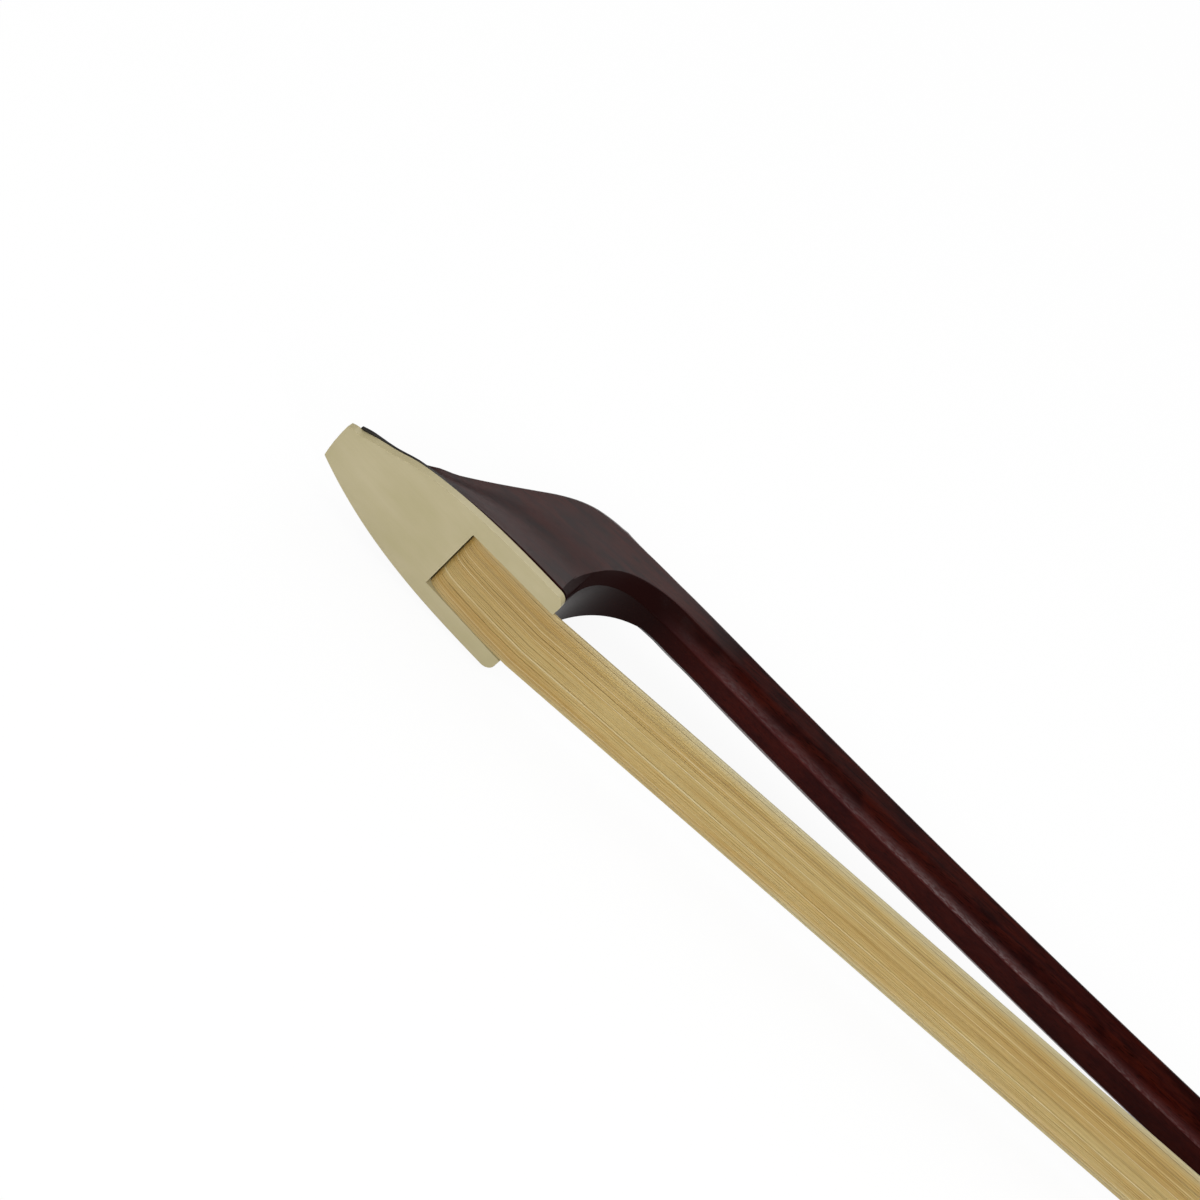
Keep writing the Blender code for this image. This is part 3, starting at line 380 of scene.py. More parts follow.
def colour(code):
    """An sRGB hex colour as linear values."""
    parts = [int(code[i:i + 2], 16) / 255 for i in (1, 3, 5)]
    return (*[c / 12.92 if c <= 0.04045 else ((c + 0.055) / 1.055) ** 2.4 for c in parts], 1.0)


def give(node, inputs):
    """Sets a node's inputs: a socket is linked, and anything else is the input's own value."""
    for key, value in inputs.items():
        if isinstance(value, bpy.types.NodeSocket):
            node.id_data.links.new(value, node.inputs[key])
        else:
            node.inputs[key].default_value = value


def add(owner, kind, inputs=None, out=0, stops=(), size=None, **settings):
    """Adds a node with its settings, a ramp's stops and its inputs, and gives one of its outputs.

    A size lays a pattern on the piece: one unit is as many millimetres as given along each axis.
    """
    inputs = dict(inputs or {})
    node = owner.node_tree.nodes.new("ShaderNode" + kind)
    for key, value in settings.items():
        setattr(node, key, value)
    if size:
        where = add(owner, "TexCoord", out="Object")
        scale = [1 / (length * MM) for length in size]
        inputs["Vector"] = add(owner, "Mapping", {"Vector": where, "Scale": scale})
        if "Scale" in node.inputs:
            inputs.setdefault("Scale", 1.0)
    give(node, inputs)
    if stops:
        elements = node.color_ramp.elements
        while len(elements) < len(stops):
            elements.new(0.5)
        for element, (at, code) in zip(elements, stops):
            element.position = at
            element.color = colour(code)
    return node.outputs[out]


# The colour sockets of a Mix node, by number, because its other kinds have the same names
MIX_UNDER, MIX_OVER, MIX_RESULT = 6, 7, 2


def layered(owner, under, *layers):
    """Lays colours over another, each as a way of blending, its share, and the colour."""
    for blend, share, over in layers:
        under = add(owner, "Mix", {"Factor": share, MIX_UNDER: under, MIX_OVER: over}, MIX_RESULT,
                    data_type="RGBA", blend_type=blend)
    return under


def new_material(name):
    mat = bpy.data.materials.new(name)
    mat.use_nodes = True
    return mat


def finish(mat, inputs):
    """Sets the inputs of a material's own shader."""
    give(mat.node_tree.nodes["Principled BSDF"], inputs)


# What the stick's mesh tells its material: polish; a painted shade, strongest in the scooped throat; and
# rubbed wear along the arrises together with a painted warm tint of the highlight there
SURFACE_VALUES = ("gloss", "painted_throat_shade", "wear_and_highlight_tint")

# Pernambuco, planed, scraped and rubbed with thin spirit varnish: dense red-brown heartwood with dark pores
# along the grain. The cheeks of the head were polished and show a cool sheen. The underside and the scooped
# throat are dull, and a painted shade darkens the throat and the underside just behind it, where the head
# shades them. The long arrises are rubbed a little paler, and a painted warm tint lies along the highlight
# beside them, which the pores break up. Pores are about 0.08 mm wide: they are drawn 0.14 mm wide to show,
# and the breaks in the highlight 0.26 mm
pernambuco = new_material("Varnished pernambuco")
gloss, painted_throat_shade, wear_and_highlight_tint = [add(pernambuco, "Attribute", out="Fac", attribute_name=name)
                         for name in SURFACE_VALUES]
streaks = add(pernambuco, "TexNoise", {"Detail": 5.0, "Roughness": 0.6}, size=(22.0, 0.8, 0.8))
pores = add(pernambuco, "TexNoise", size=(2.6, 0.14, 0.14))
patches = add(pernambuco, "TexNoise", {"Detail": 3.0, "Roughness": 0.6}, size=(9.0, 4.0, 4.0))
flecks = add(pernambuco, "TexNoise", {"Detail": 3.0, "Roughness": 0.6}, size=(1.1, 0.26, 0.26))
heartwood = add(pernambuco, "ValToRGB", {"Fac": streaks}, stops=[
    (0.30, "#250807"), (0.46, "#2e0c08"), (0.58, "#350f08"), (0.72, "#290a08")])
tinge = add(pernambuco, "ValToRGB", {"Fac": patches}, stops=[
    (0.36, "#b8b6c8"), (0.52, "#ffffff"), (0.68, "#ffdcc8")])
specks = add(pernambuco, "ValToRGB", {"Fac": pores}, stops=[(0.30, "#6c5c58"), (0.44, "#ffffff")])
# Over the heartwood: random patches and pores, then a painted shade, near black, over the throat, and the
# paler rubbed wear with a painted highlight tint along the arrises
wood = layered(pernambuco, heartwood, ("MULTIPLY", 1.0, tinge), ("MULTIPLY", 1.0, specks),
               ("MIX", painted_throat_shade, colour("#1c0a09")), ("MIX", wear_and_highlight_tint, colour("#5a2e2f")))
sparkle = add(pernambuco, "MapRange",
              {"Value": flecks, "From Min": 0.40, "From Max": 0.60, "To Min": -0.46, "To Max": 0.52})
broken = add(pernambuco, "Math", {0: sparkle, 1: wear_and_highlight_tint, 2: 0.25}, operation="MULTIPLY_ADD")
level = add(pernambuco, "Math", {0: gloss, 1: broken}, operation="MULTIPLY")
relief = add(pernambuco, "Bump", {"Height": flecks, "Strength": 0.30, "Distance": 0.00006})

# The level varies over the wood, so it is linked; its own value is the mean, for an export that drops the
# link
finish(pernambuco, {"Roughness": 0.30, "IOR": 1.5, "Base Color": wood, "Normal": relief,
                    "Specular IOR Level": 0.16})
finish(pernambuco, {"Specular IOR Level": level})

# Bone, filed flat and polished: warm cream with faint fibres along the plate and a soft gloss. The fibres are
# about 0.1 mm wide, and are drawn 0.35 to 0.7 mm wide to show
bone = new_material("Polished bone")
fibres = add(bone, "TexNoise", {"Detail": 4.0, "Roughness": 0.55}, size=(18.0, 0.7, 0.35))
clouds = add(bone, "TexNoise", size=(12.0, 9.0, 6.0))
tone = add(bone, "Math", {0: fibres, 1: 0.16, 2: 0.0}, operation="MULTIPLY_ADD")
tone = add(bone, "Math", {0: clouds, 1: 0.84, 2: tone}, operation="MULTIPLY_ADD")
cream = add(bone, "ValToRGB", {"Fac": tone}, stops=[(0.32, "#a89e75"), (0.50, "#ada27c"), (0.68, "#b3a884")])
relief = add(bone, "Bump", {"Height": fibres, "Strength": 0.08, "Distance": 0.00003})
finish(bone, {"Roughness": 0.42, "IOR": 1.54, "Base Color": cream, "Normal": relief})

# Ebony, scraped and oiled: near black, with close grain lines that catch a little light. Its pores are about
# 0.08 mm wide, and are drawn 0.15 mm wide to show
ebony = new_material("Oiled ebony")
grain = add(ebony, "TexNoise", {"Detail": 4.0, "Roughness": 0.6}, size=(22.0, 0.5, 0.5))
fine_pores = add(ebony, "TexNoise", size=(3.0, 0.15, 0.15))
black = add(ebony, "ValToRGB", {"Fac": grain}, stops=[
    (0.35, "#141211"), (0.60, "#221d1b"), (0.75, "#2b2421")])
relief = add(ebony, "Bump", {"Height": fine_pores, "Strength": 0.2, "Distance": 0.00004})
finish(ebony, {"Roughness": 0.34, "IOR": 1.5, "Base Color": black, "Normal": relief})

# Maple, split and cut with a knife: pale and dull, with fine brown growth lines
maple = new_material("Cut maple")
growth = add(maple, "TexNoise", {"Detail": 3.0}, size=(9.0, 0.5, 1.2))
pale = add(maple, "ValToRGB", {"Fac": growth}, stops=[(0.35, "#a88a62"), (0.6, "#cbb184")])
finish(maple, {"Roughness": 0.6, "Base Color": pale})

# Linen thread, drawn through wax and wound close: straw bands as far apart as the thread is thick, 0.4 mm
thread = new_material("Waxed linen thread")
wound = add(thread, "TexWave", {"Scale": 0.75, "Distortion": 0.4}, "Fac", size=(1.0, 1.0, 1.0),
            wave_type="BANDS", bands_direction="Z")
straw = add(thread, "ValToRGB", {"Fac": wound}, stops=[(0.2, "#7d6f50"), (0.8, "#cabd98")])
finish(thread, {"Roughness": 0.55, "Base Color": straw})

# Horsehair, washed and drawn straight: each hair its own straw or cream, by its u in the map named hair, with
# a silky gleam. Its v is its place across the ribbon, whose outer hairs are paler. A hair's shade wanders
# along it, locks of hairs differ a little, and all are duller where they leave the head
HAIR_WANDER = 14.0
ACROSS_SPREAD = 260.0
plate_end = HOME.x / (HAIR_WANDER * MM)
horsehair = new_material("Drawn horsehair")
own_map = add(horsehair, "SeparateXYZ", {"Vector": add(horsehair, "UVMap", uv_map="hair")}).node
own_tone, across_ribbon = own_map.outputs["X"], own_map.outputs["Y"]
along_hair = add(horsehair, "SeparateXYZ", out="X", size=(HAIR_WANDER,) * 3)
which = add(horsehair, "Math", {0: across_ribbon, 1: ACROSS_SPREAD}, operation="MULTIPLY")
own_place = add(horsehair, "CombineXYZ", {"X": along_hair, "Y": which})
wander = add(horsehair, "TexNoise", {"Vector": own_place, "Scale": 1.0})
locks = add(horsehair, "TexNoise", size=(40.0, 40.0, 2.4))
from_root = add(horsehair, "MapRange",
                {"Value": along_hair, "From Min": plate_end - 0.5, "From Max": plate_end + 1.1})
own = add(horsehair, "ValToRGB", {"Fac": own_tone}, stops=[
    (0.00, "#8f7244"), (0.09, "#b69d64"), (0.50, "#c1aa70"), (0.90, "#cab784"), (1.00, "#ddd2b2")])
outer = add(horsehair, "ValToRGB", {"Fac": across_ribbon}, stops=[
    (0.00, "#cccccc"), (0.10, "#000000"), (0.88, "#000000"), (1.00, "#dcdcdc")])
shade = add(horsehair, "ValToRGB", {"Fac": wander}, stops=[(0.30, "#ece2c8"), (0.55, "#ffffff")])
lock_shade = add(horsehair, "ValToRGB", {"Fac": locks}, stops=[(0.36, "#f7ecd6"), (0.62, "#ffffff")])
root_shade = add(horsehair, "ValToRGB", {"Fac": from_root}, stops=[(0.0, "#eee8dc"), (1.0, "#ffffff")])
gathered = layered(horsehair, own, ("MULTIPLY", 1.0, shade), ("MIX", outer, colour("#c6bf9f")),
                   ("MULTIPLY", 1.0, lock_shade), ("MULTIPLY", 1.0, root_shade))
finish(horsehair, {"Roughness": 0.42, "IOR": 1.55, "Specular IOR Level": 0.35, "Base Color": gathered})

# Goatskin, dyed black, glued down and burnished by the thumb: pebbled, with a dull gloss. The pebbles are
# about 0.5 mm wide, and are drawn 0.8 mm wide to show
leather = new_material("Black goatskin")
pebbles = add(leather, "TexVoronoi", size=(0.8, 0.8, 0.8))
burnished = add(leather, "TexNoise", {"Detail": 3.0}, size=(9.0, 6.0, 6.0))
dyed = add(leather, "ValToRGB", {"Fac": burnished}, stops=[(0.35, "#16120f"), (0.7, "#2a211c")])
relief = add(leather, "Bump", {"Height": pebbles, "Strength": 0.7, "Distance": 0.0002})
finish(leather, {"Roughness": 0.55, "Base Color": dyed, "Normal": relief})

# Nickel silver, filed, polished and handled: pale warm metal with rubbing marks along the bow. The marks are
# about 0.02 mm wide, and are drawn 0.25 mm wide to show
nickel = new_material("Polished nickel silver")
rubbing = add(nickel, "TexNoise", {"Detail": 3.0}, size=(7.0, 0.25, 0.25))
white_metal = add(nickel, "ValToRGB", {"Fac": rubbing}, stops=[(0.3, "#a9a69e"), (0.7, "#c4c1b8")])
gleam = add(nickel, "MapRange", {"Value": rubbing, "To Min": 0.18, "To Max": 0.32})
finish(nickel, {"Metallic": 1.0, "Base Color": white_metal, "Roughness": gleam})

# The winding, the brass eyelet and the steel screws: metals that a die or a lathe left with marks round them,
# which give a soft streaked gleam. The marks are 0.02 to 0.05 mm apart, and are drawn 0.25 to 0.35 mm apart
# to show
MARKED_METALS = {
    "Silver winding": (0.28, (0.35, 4.0, 4.0), 3.0, "#9c9a94", "#c9c6bd"),  # silver wire, drawn
    "Turned brass": (0.32, (0.3, 5.0, 5.0), 2.0, "#a9853f", "#c9a558"),     # brass, turned and tapped
    "Turned steel": (0.30, (0.25, 5.0, 5.0), 2.0, "#84858a", "#a9abb0"),    # steel, turned bright and oiled
}
for name, (roughness, size, detail, dark, bright) in MARKED_METALS.items():
    metal = new_material(name)
    marks = add(metal, "TexNoise", {"Detail": detail}, size=size)
    worked = add(metal, "ValToRGB", {"Fac": marks}, stops=[(0.3, dark), (0.7, bright)])
    finish(metal, {"Metallic": 1.0, "Roughness": roughness, "Base Color": worked})
silver, brass, steel = [bpy.data.materials[name] for name in MARKED_METALS]

# Mother-of-pearl, sawn thin and polished: milky, with soft pink, green and grey bands, under a clear gloss.
# One band is 5 to 9 mm wide
pearl = new_material("Polished mother-of-pearl")
figure = add(pearl, "TexWave", {"Scale": 0.5, "Distortion": 4.5, "Detail": 2.0, "Detail Scale": 0.8}, "Fac",
             size=(14.0, 8.0, 8.0), wave_type="BANDS", bands_direction="DIAGONAL")
milk = add(pearl, "ValToRGB", {"Fac": figure}, stops=[
    (0.0, "#cdd3cc"), (0.3, "#dadad2"), (0.5, "#dbd1d1"), (0.7, "#d2d8d2"), (1.0, "#e2dfd6")])
finish(pearl, {"Roughness": 0.16, "IOR": 1.6, "Coat Weight": 0.4, "Coat Roughness": 0.05, "Base Color": milk})


# Stick and head

def share_of(x, start, end):
    """How far x is on its way from start to end, from 0 to 1."""
    return min(max((x - start) / (end - start), 0.0), 1.0)


def hermite(x, x0, y0, m0, x1, y1, m1):
    """A curve between two points with a slope at each."""
    t = (x - x0) / (x1 - x0)
    reach = x1 - x0
    return ((2 * t ** 3 - 3 * t ** 2 + 1) * y0 + (t ** 3 - 2 * t ** 2 + t) * reach * m0
            + (3 * t ** 2 - 2 * t ** 3) * y1 + (t ** 3 - t ** 2) * reach * m1)


def smooth_table(x, xs, ys):
    """A smooth curve through a table's points."""
    slopes = np.gradient(np.asarray(ys), np.asarray(xs))
    i = int(np.clip(np.searchsorted(xs, x) - 1, 0, len(xs) - 2))
    return float(hermite(x, xs[i], ys[i], slopes[i], xs[i + 1], ys[i + 1], slopes[i + 1]))


def axis_y(x):
    """Height of the stick's centre line over the hair, with its camber."""
    if x >= HANDLE_X:
        return HANDLE_Y + HANDLE_SLOPE * (x - HANDLE_X)
    if x >= LOW_X:
        return hermite(x, LOW_X, LOW_Y, 0.0, HANDLE_X, HANDLE_Y, HANDLE_SLOPE)
    neck = NECK_DIP * math.exp(-((x - NECK_X) / NECK_SPREAD) ** 2)
    return hermite(x, 0.0, HEAD_H - STICK_HEAD_R, HEAD_SLOPE, LOW_X, LOW_Y, 0.0) - neck


def axis_slope(x):
    return (axis_y(x + 0.01) - axis_y(x - 0.01)) / 0.02


def stick_r(x):
    """Half the stick's thickness across its flats."""
    return STICK_HEAD_R + (STICK_HANDLE_R - STICK_HEAD_R) * share_of(x, 0.0, HANDLE_X) ** STICK_TAPER


def plate_point(along, depth):
    """A point by its distance from the plate's end towards the nose and its depth."""
    c, s = math.cos(PLATE_TILT), math.sin(PLATE_TILT)
    return Vector((-c * along + s * depth, s * along + c * depth))


def plate_half(along):
    """Half the plate's width at a distance from its end."""
    return PLATE_W / 2 - (PLATE_W - NOSE_W) / 2 * share_of(along, 0.0, PLATE_LENGTH) ** PLATE_FULLNESS


# A round takes at most this share of each side that it lies on, and a point this much further out holds its
# edge
MOST_OF_SIDE = 0.42
HOLD_OUT = 1.12


def softened(points, softness):
    """Half of a section from top to bottom: a softness makes its point a round, held on both sides."""
    whole = [(-points[0][0], points[0][1])] + points + [(-points[-1][0], points[-1][1])]
    out = []
    for i, soft in enumerate(softness):
        before, here, after = (Vector(point) for point in whole[i:i + 3])
        if soft == 0.0:
            out.append(here)
            continue
        back, on = before - here, after - here
        near = min(soft, back.length * MOST_OF_SIDE, on.length * MOST_OF_SIDE)
        start, end = here + back.normalized() * near, here + on.normalized() * near
        hold = near * HOLD_OUT
        out.append(here + back.normalized() * hold)
        for t in (0, 0.25, 0.5, 0.75, 1):
            out.append(start * (1 - t) ** 2 + here * 2 * t * (1 - t) + end * t ** 2)
        out.append(here + on.normalized() * hold)
    return out


def section(bottom, top, points, softness):
    """Ring on the line from bottom to top; points are (half width, height) pairs."""
    up = (top - bottom).normalized()
    half = softened(points, softness)
    right = [(bottom + up * p.y, p.x) for p in half]
    left = [(bottom + up * p.y, -p.x) for p in reversed(half)]
    return [put(at.x, at.y, z) for at, z in right + left]


# Where the points of a section lie on its cheek, as shares of the cheek's height: on the head, and on the
# stick
HEAD_LEVELS = [k / 10 for k in range(11)]
FACET_LEVELS = [0, 0.30, 0.35, 0.40, 0.45, 0.50, 0.55, 0.60, 0.65, 0.70, 1.0]


def crowned(start, end, swell):
    """Three points from start to end, moved out of the straight line by a plane's slight crown."""
    start, end = Vector(start), Vector(end)
    on = end - start
    out = Vector((-on.y, on.x)).normalized()
    return [tuple(start + on * t + out * swell * 4 * t * (1 - t)) for t in (0.32, 0.5, 0.68)]


# Swell of the lower diagonals behind the throat, by the distance from the plate's end
SWELL_AT = [16, 18.3, 22, 26, 31, 38, 60]
SWELL = [THROAT_SCOOP, THROAT_SCOOP, 0.08, -0.20, 0.16, FACET_CROWN, FACET_CROWN]


def hollow_or_crown(x):
    """Swell of the lower diagonals: scooped in the throat, nicked where the file stopped, then crowned."""
    return smooth_table(x, SWELL_AT, SWELL) if x < SWELL_AT[-1] else FACET_CROWN


def underside(x):
    """Half the width of the under facet, planed wider than the others beyond the head."""
    return OCT * stick_r(x) * (1 + UNDER_WIDER * share_of(x, 50, 110) * share_of(x, 300, 200))


def stick_section(x):
    """Ring of the stick, octagonal, its corners softened and its diagonals crowned."""
    r = stick_r(x)
    up = Vector((-axis_slope(x), 1.0)).normalized()
    centre = Vector((x, axis_y(x)))
    side = [(r, (1 + OCT * (1 - 2 * k)) * r) for k in FACET_LEVELS]
    high, low = (OCT * r, 2 * r), (underside(x), 0.0)
    points = ([high] + crowned(high, side[0], FACET_CROWN) + side
              + crowned(side[-1], low, hollow_or_crown(x)) + [low])
    soft = [ARRIS, 0, 0, 0, SOFT_ARRIS] + [0] * 9 + [SOFT_ARRIS, 0, 0, 0, ARRIS]
    return section(centre - up * r, centre + up * r, points, soft)


# Height of the head's ridge over the plate, as shares of its peak, by shares of the plate's length
RIDGE_AT = [0, 0.09, 0.16, 0.237, 0.308, 0.379, 0.453, 0.526, 0.597, 0.668, 0.742, 0.887, 1.0]
RIDGE_UP = [1.0, 0.986, 0.953, 0.887, 0.802, 0.698, 0.590, 0.487, 0.393, 0.306, 0.228, 0.125, 0.087]

throat_foot = plate_point(0.0, WOOD_BASE)
throat_top = Vector((THROAT_REACH, axis_y(THROAT_REACH) - FULL))
off_plate = plate_point(0.0, 1.0)
on_stick = Vector((1.0, axis_slope(THROAT_REACH)))
span = throat_top - throat_foot
throat_rise = off_plate * (span.cross(on_stick) / off_plate.cross(on_stick))
throat_run = on_stick * (off_plate.cross(span) / off_plate.cross(on_stick))


def throat_point(turn):
    """A point of the throat's curve, from the plate's end at 0 to the stick at a quarter turn."""
    rise = math.sin(turn) ** THROAT_ROUND
    run = 1 - max(math.cos(turn), 0.0) ** THROAT_ROUND
    return throat_foot + throat_rise * rise + throat_run * run


throat_turns = np.linspace(0, math.pi / 2, 721)
throat_line = np.array([throat_point(t)[:] for t in throat_turns])
throat_bevel = np.array([smooth_table(math.sin(t), [0, 0.55, 0.85, 1.0],
                                      [PRONG_CORNER, CHAMFER_MIDDLE, CHAMFER_HIGH, FULL - FACE_TOP])
                         for t in throat_turns])
heights = np.arange(0, PEAK_H / 2, 0.02)


def bevel_height(base, up):
    """Height at which a section leaves the bevel that follows the throat."""
    line = np.array(base[:])[None, :] + heights[:, None] * np.array(up[:])[None, :]
    away = np.linalg.norm(line[:, None, :] - throat_line[None, :, :], axis=2)
    nearest = away.argmin(axis=1)
    left = away.min(axis=1) >= throat_bevel[nearest]
    return float(heights[left.argmax()])


# How far the head's ridge, its shoulder, the top of its bevel and its foot are rounded by the plate
RIDGE_SOFT, SHOULDER_SOFT, BEVEL_SOFT, FOOT_SOFT = 0.6, 1.1, 0.16, 0.05

# Where the head is low, its cheek, shoulder and rim take at most these shares of its height
CHEEK_SHARE, SHOULDER_SHARE, RIM_SHARE = 0.35, 0.30, 0.25


def head_section(base, top, ahead, along, face):
    """Ring of the head; ahead is 0 on the plate and 1 where the stick begins."""
    tall = (top - base).length
    up = (top - base).normalized()
    part = along / PLATE_LENGTH
    plain = 1 - ahead
    outer = plate_half(along) - WOOD_INSET - NOSE_INSET * part ** 2
    ridge = RIDGE_HALF + (NOSE_RIDGE_HALF - RIDGE_HALF) * part + (FACE_TOP - RIDGE_HALF) * ahead
    cheek = min(CHEEK_HALF + (FULL - CHEEK_HALF) * ahead, ridge + CHEEK_SHARE * tall, outer - 0.5)
    drop = SHOULDER_DROP + (FULL - FACE_TOP - SHOULDER_DROP) * ahead
    shoulder = tall - min(drop, SHOULDER_SHARE * tall)
    rim = min(RIM, RIM_SHARE * tall)
    foot = rim - (base.y - throat_foot.y if along == 0.0 else 0.0)
    side = max(bevel_height(base, up) if along < PRONG_CORNER else 0.0, rim * plain)

    def cheek_at(height):
        return cheek + (outer - cheek) * plain * share_of(height, shoulder, foot) ** CHEEK_FLARE

    spread = [near + (far - near) * ahead ** 4 for near, far in zip(HEAD_LEVELS, FACET_LEVELS)]
    levels = [shoulder + (side - shoulder) * k for k in spread]
    cheeks = [(cheek_at(level), level) for level in levels]
    high, low = (ridge, tall), (face, 0.0)
    scoop = THROAT_SCOOP * min(ahead * 4, 1.0)
    points = ([high] + crowned(high, cheeks[0], FACET_CROWN * ahead) + cheeks
              + crowned(cheeks[-1], low, scoop) + [low])
    soft = ([RIDGE_SOFT * plain + ARRIS * ahead, 0, 0, 0, SHOULDER_SOFT * plain + SOFT_ARRIS * ahead]
            + [0] * 9
            + [BEVEL_SOFT * plain + SOFT_ARRIS * ahead, 0, 0, 0, FOOT_SOFT * plain + ARRIS * ahead])
    return section(base, top, points, soft)


# How far the back of the head is eased up or down, by the distance from the plate's end
TOP_AT = [-22, -18, -14, -12, -10, -8, -6, -4, -2, 0,
          2, 4, 6, 8, 10, 12, 14, 16, 18.3]
TOP_SHIFT = [0, -0.05, -0.13, -0.18, -0.25, -0.31, -0.38, -0.48, -0.62, -0.76,
             -0.76, -0.60, -0.20, 0.14, 0.36, 0.40, 0.28, 0.12, 0]


def eased(top):
    """The back of the head eased down into the neck, as the file leaves it."""
    shift = smooth_table(top.x, TOP_AT, TOP_SHIFT) if TOP_AT[0] < top.x < TOP_AT[-1] else 0.0
    return Vector((top.x, top.y + shift))


# Where the stick's rings lie: along the plate, round the throat in degrees, and along the stick
PLATE_STATIONS = ([0.0, 0.1, 0.3, 0.6, 1.0, 1.4, 1.7] + [2.2 + 0.88 * k for k in range(41)]
                  + [37.9, 38.2, PLATE_LENGTH])
THROAT_STATIONS = [0.6, 1.5, 3, 5] + list(range(7, 85, 2)) + [86, 87.5, 88.5, 89.3, 90]
CLOSE_STEP, WIDE_STEP, CLOSE_UNTIL = 1.5, 6.0, 30

# The dip's curve, a * (1 - a) ** 2, is highest at a third of its way; this makes it 1 there
DIP_TO_ONE = 6.75

rings = []
for along in PLATE_STATIONS:
    part = along / PLATE_LENGTH
    up = smooth_table(part, RIDGE_AT, RIDGE_UP) * PEAK_H
    inward = max(PRONG_CORNER - along, 0.0)
    face = FACE_FOOT + math.sqrt(PRONG_CORNER ** 2 - inward ** 2)
    face = min(face, plate_half(along)) - FACE_INSET - NOSE_INSET * part ** 2
    rings.append(head_section(plate_point(along, WOOD_BASE), eased(plate_point(along, up)), 0.0, along, face))
rings.reverse()
head_top = plate_point(0.0, PEAK_H)
for degrees in THROAT_STATIONS:
    base = throat_point(math.radians(degrees))
    ahead = (base.x - throat_foot.x) / (throat_top.x - throat_foot.x)
    top_x = head_top.x + (THROAT_REACH - head_top.x) * ahead
    line = axis_y(top_x) + stick_r(top_x)
    dip = BEND_DIP * DIP_TO_ONE * ahead * (1 - ahead) ** 2
    top = Vector((top_x, head_top.y + (line - head_top.y) * (1 - (1 - ahead) ** 3) - dip))
    risen = (base.y - throat_foot.y) / (throat_top.y - throat_foot.y)
    face = FACE_TOP + (FACE_FOOT - FACE_TOP) * max(1 - risen, 0.0) ** FACE_TAPER
    rings.append(head_section(base, eased(top), ahead, 0.0, face))
x = THROAT_REACH + CLOSE_STEP
while x < STICK_END:
    rings.append(stick_section(x))
    x += CLOSE_STEP if x < CLOSE_UNTIL else WIDE_STEP
rings.append(stick_section(STICK_END))
stick = drawn_through("bow_stick", rings)

# Frames to work in: along the handle from the stick's end, across the plate's end, and on the plate's face
HANDLE = (Matrix.Translation(put(STICK_END, axis_y(STICK_END)))
          @ Matrix.Rotation(math.atan(HANDLE_SLOPE), 4, "Z"))
PLATE_END = Matrix(((0, math.sin(PLATE_TILT), -math.cos(PLATE_TILT), HOME.x),
                    (0, math.cos(PLATE_TILT), math.sin(PLATE_TILT), HOME.y),
                    (1, 0, 0, HOME.z), (0, 0, 0, 1)))
PLATE_FLAT = Matrix(((-math.cos(PLATE_TILT), 0, math.sin(PLATE_TILT), HOME.x),
                     (math.sin(PLATE_TILT), 0, math.cos(PLATE_TILT), HOME.y),
                     (0, 1, 0, HOME.z), (0, 0, 0, 1)))

mortise_mouth = [(-SLOT_HALF, -1.0), (SLOT_HALF, -1.0)]
mortise_floor = [(MORTISE_FLOOR_W / 2, MORTISE_DEEP), (-MORTISE_FLOOR_W / 2, MORTISE_DEEP)]
cut(stick, cut_from_sheet("mortise", mortise_mouth + mortise_floor, MORTISE_REAR, SLOT_LENGTH, PLATE_END))
spigot = turned("spigot", [(-2, 0), (-2, SPIGOT_R), (SPIGOT_LENGTH - 0.3, SPIGOT_R),
                           (SPIGOT_LENGTH, SPIGOT_R - 0.3), (SPIGOT_LENGTH, 0)], HANDLE)
cut(stick, spigot, "UNION")


def down_handle(x):
    """A distance from the stick's end along the sloping handle, for an x along the hair."""
    return (x - STICK_END) * math.sqrt(1 + HANDLE_SLOPE ** 2)


eyelet_x = down_handle(EYELET_AT)
cut(stick, block("eyelet slot", (eyelet_x - EYELET_HALF, -8, -3.9),
                 (eyelet_x + EYELET_HALF + EYELET_TRAVEL, 4.1, 3.9), HANDLE))
bore_r = SCREW_R + SCREW_PLAY
cut(stick, turned("screw bore", [(eyelet_x - 8, 0), (eyelet_x - 8, bore_r),
                                 (SPIGOT_LENGTH + 1, bore_r), (SPIGOT_LENGTH + 1, 0)], HANDLE, 32))
smooth(face_outwards(stick), 32)

# The throat's scoop runs this far out under the stick
SCOOP_OUT = 14


def in_throat(at):
    """Whether a place on the wood lies on the throat's face or on the bevel that follows it."""
    if at.x >= THROAT_REACH:
        return at.x < THROAT_REACH + SCOOP_OUT
    away = np.hypot(throat_line[:, 0] - at.x, throat_line[:, 1] - at.y)
    nearest = int(away.argmin())
    return bool(away[nearest] < throat_bevel[nearest] + 0.02)


# Polish of the head's cheeks by how far they lean towards its back, brightest where the curve is steepest
FLARE_AT = [0, 0.05, 0.10, 0.15, 0.20, 0.28, 0.32, 0.36, 0.40, 0.50]
FLARE_GLOSS = [0.60, 0.68, 0.84, 1.15, 1.48, 1.60, 1.15, 0.55, 0.32, 0.17]

# Polish of the stick's facets, and their rubbed wear with a painted warm tint of the highlight, by the angle
# round its centre line from straight down
FACET_AT = [0, 25, 27.5, 32, 37, 45, 58, 110, 130, 180]
FACET_GLOSS = [0.05, 0.05, 1.1, 1.0, 0.45, 0.13, 0.08, 0.08, 0.48, 0.48]
WEAR_AND_HIGHLIGHT_AT = [0, 21, 24, 28, 33, 40, 48]
WEAR_AND_HIGHLIGHT = [0.18, 0.18, 0.5, 0.5, 0.35, 0.15, 0]

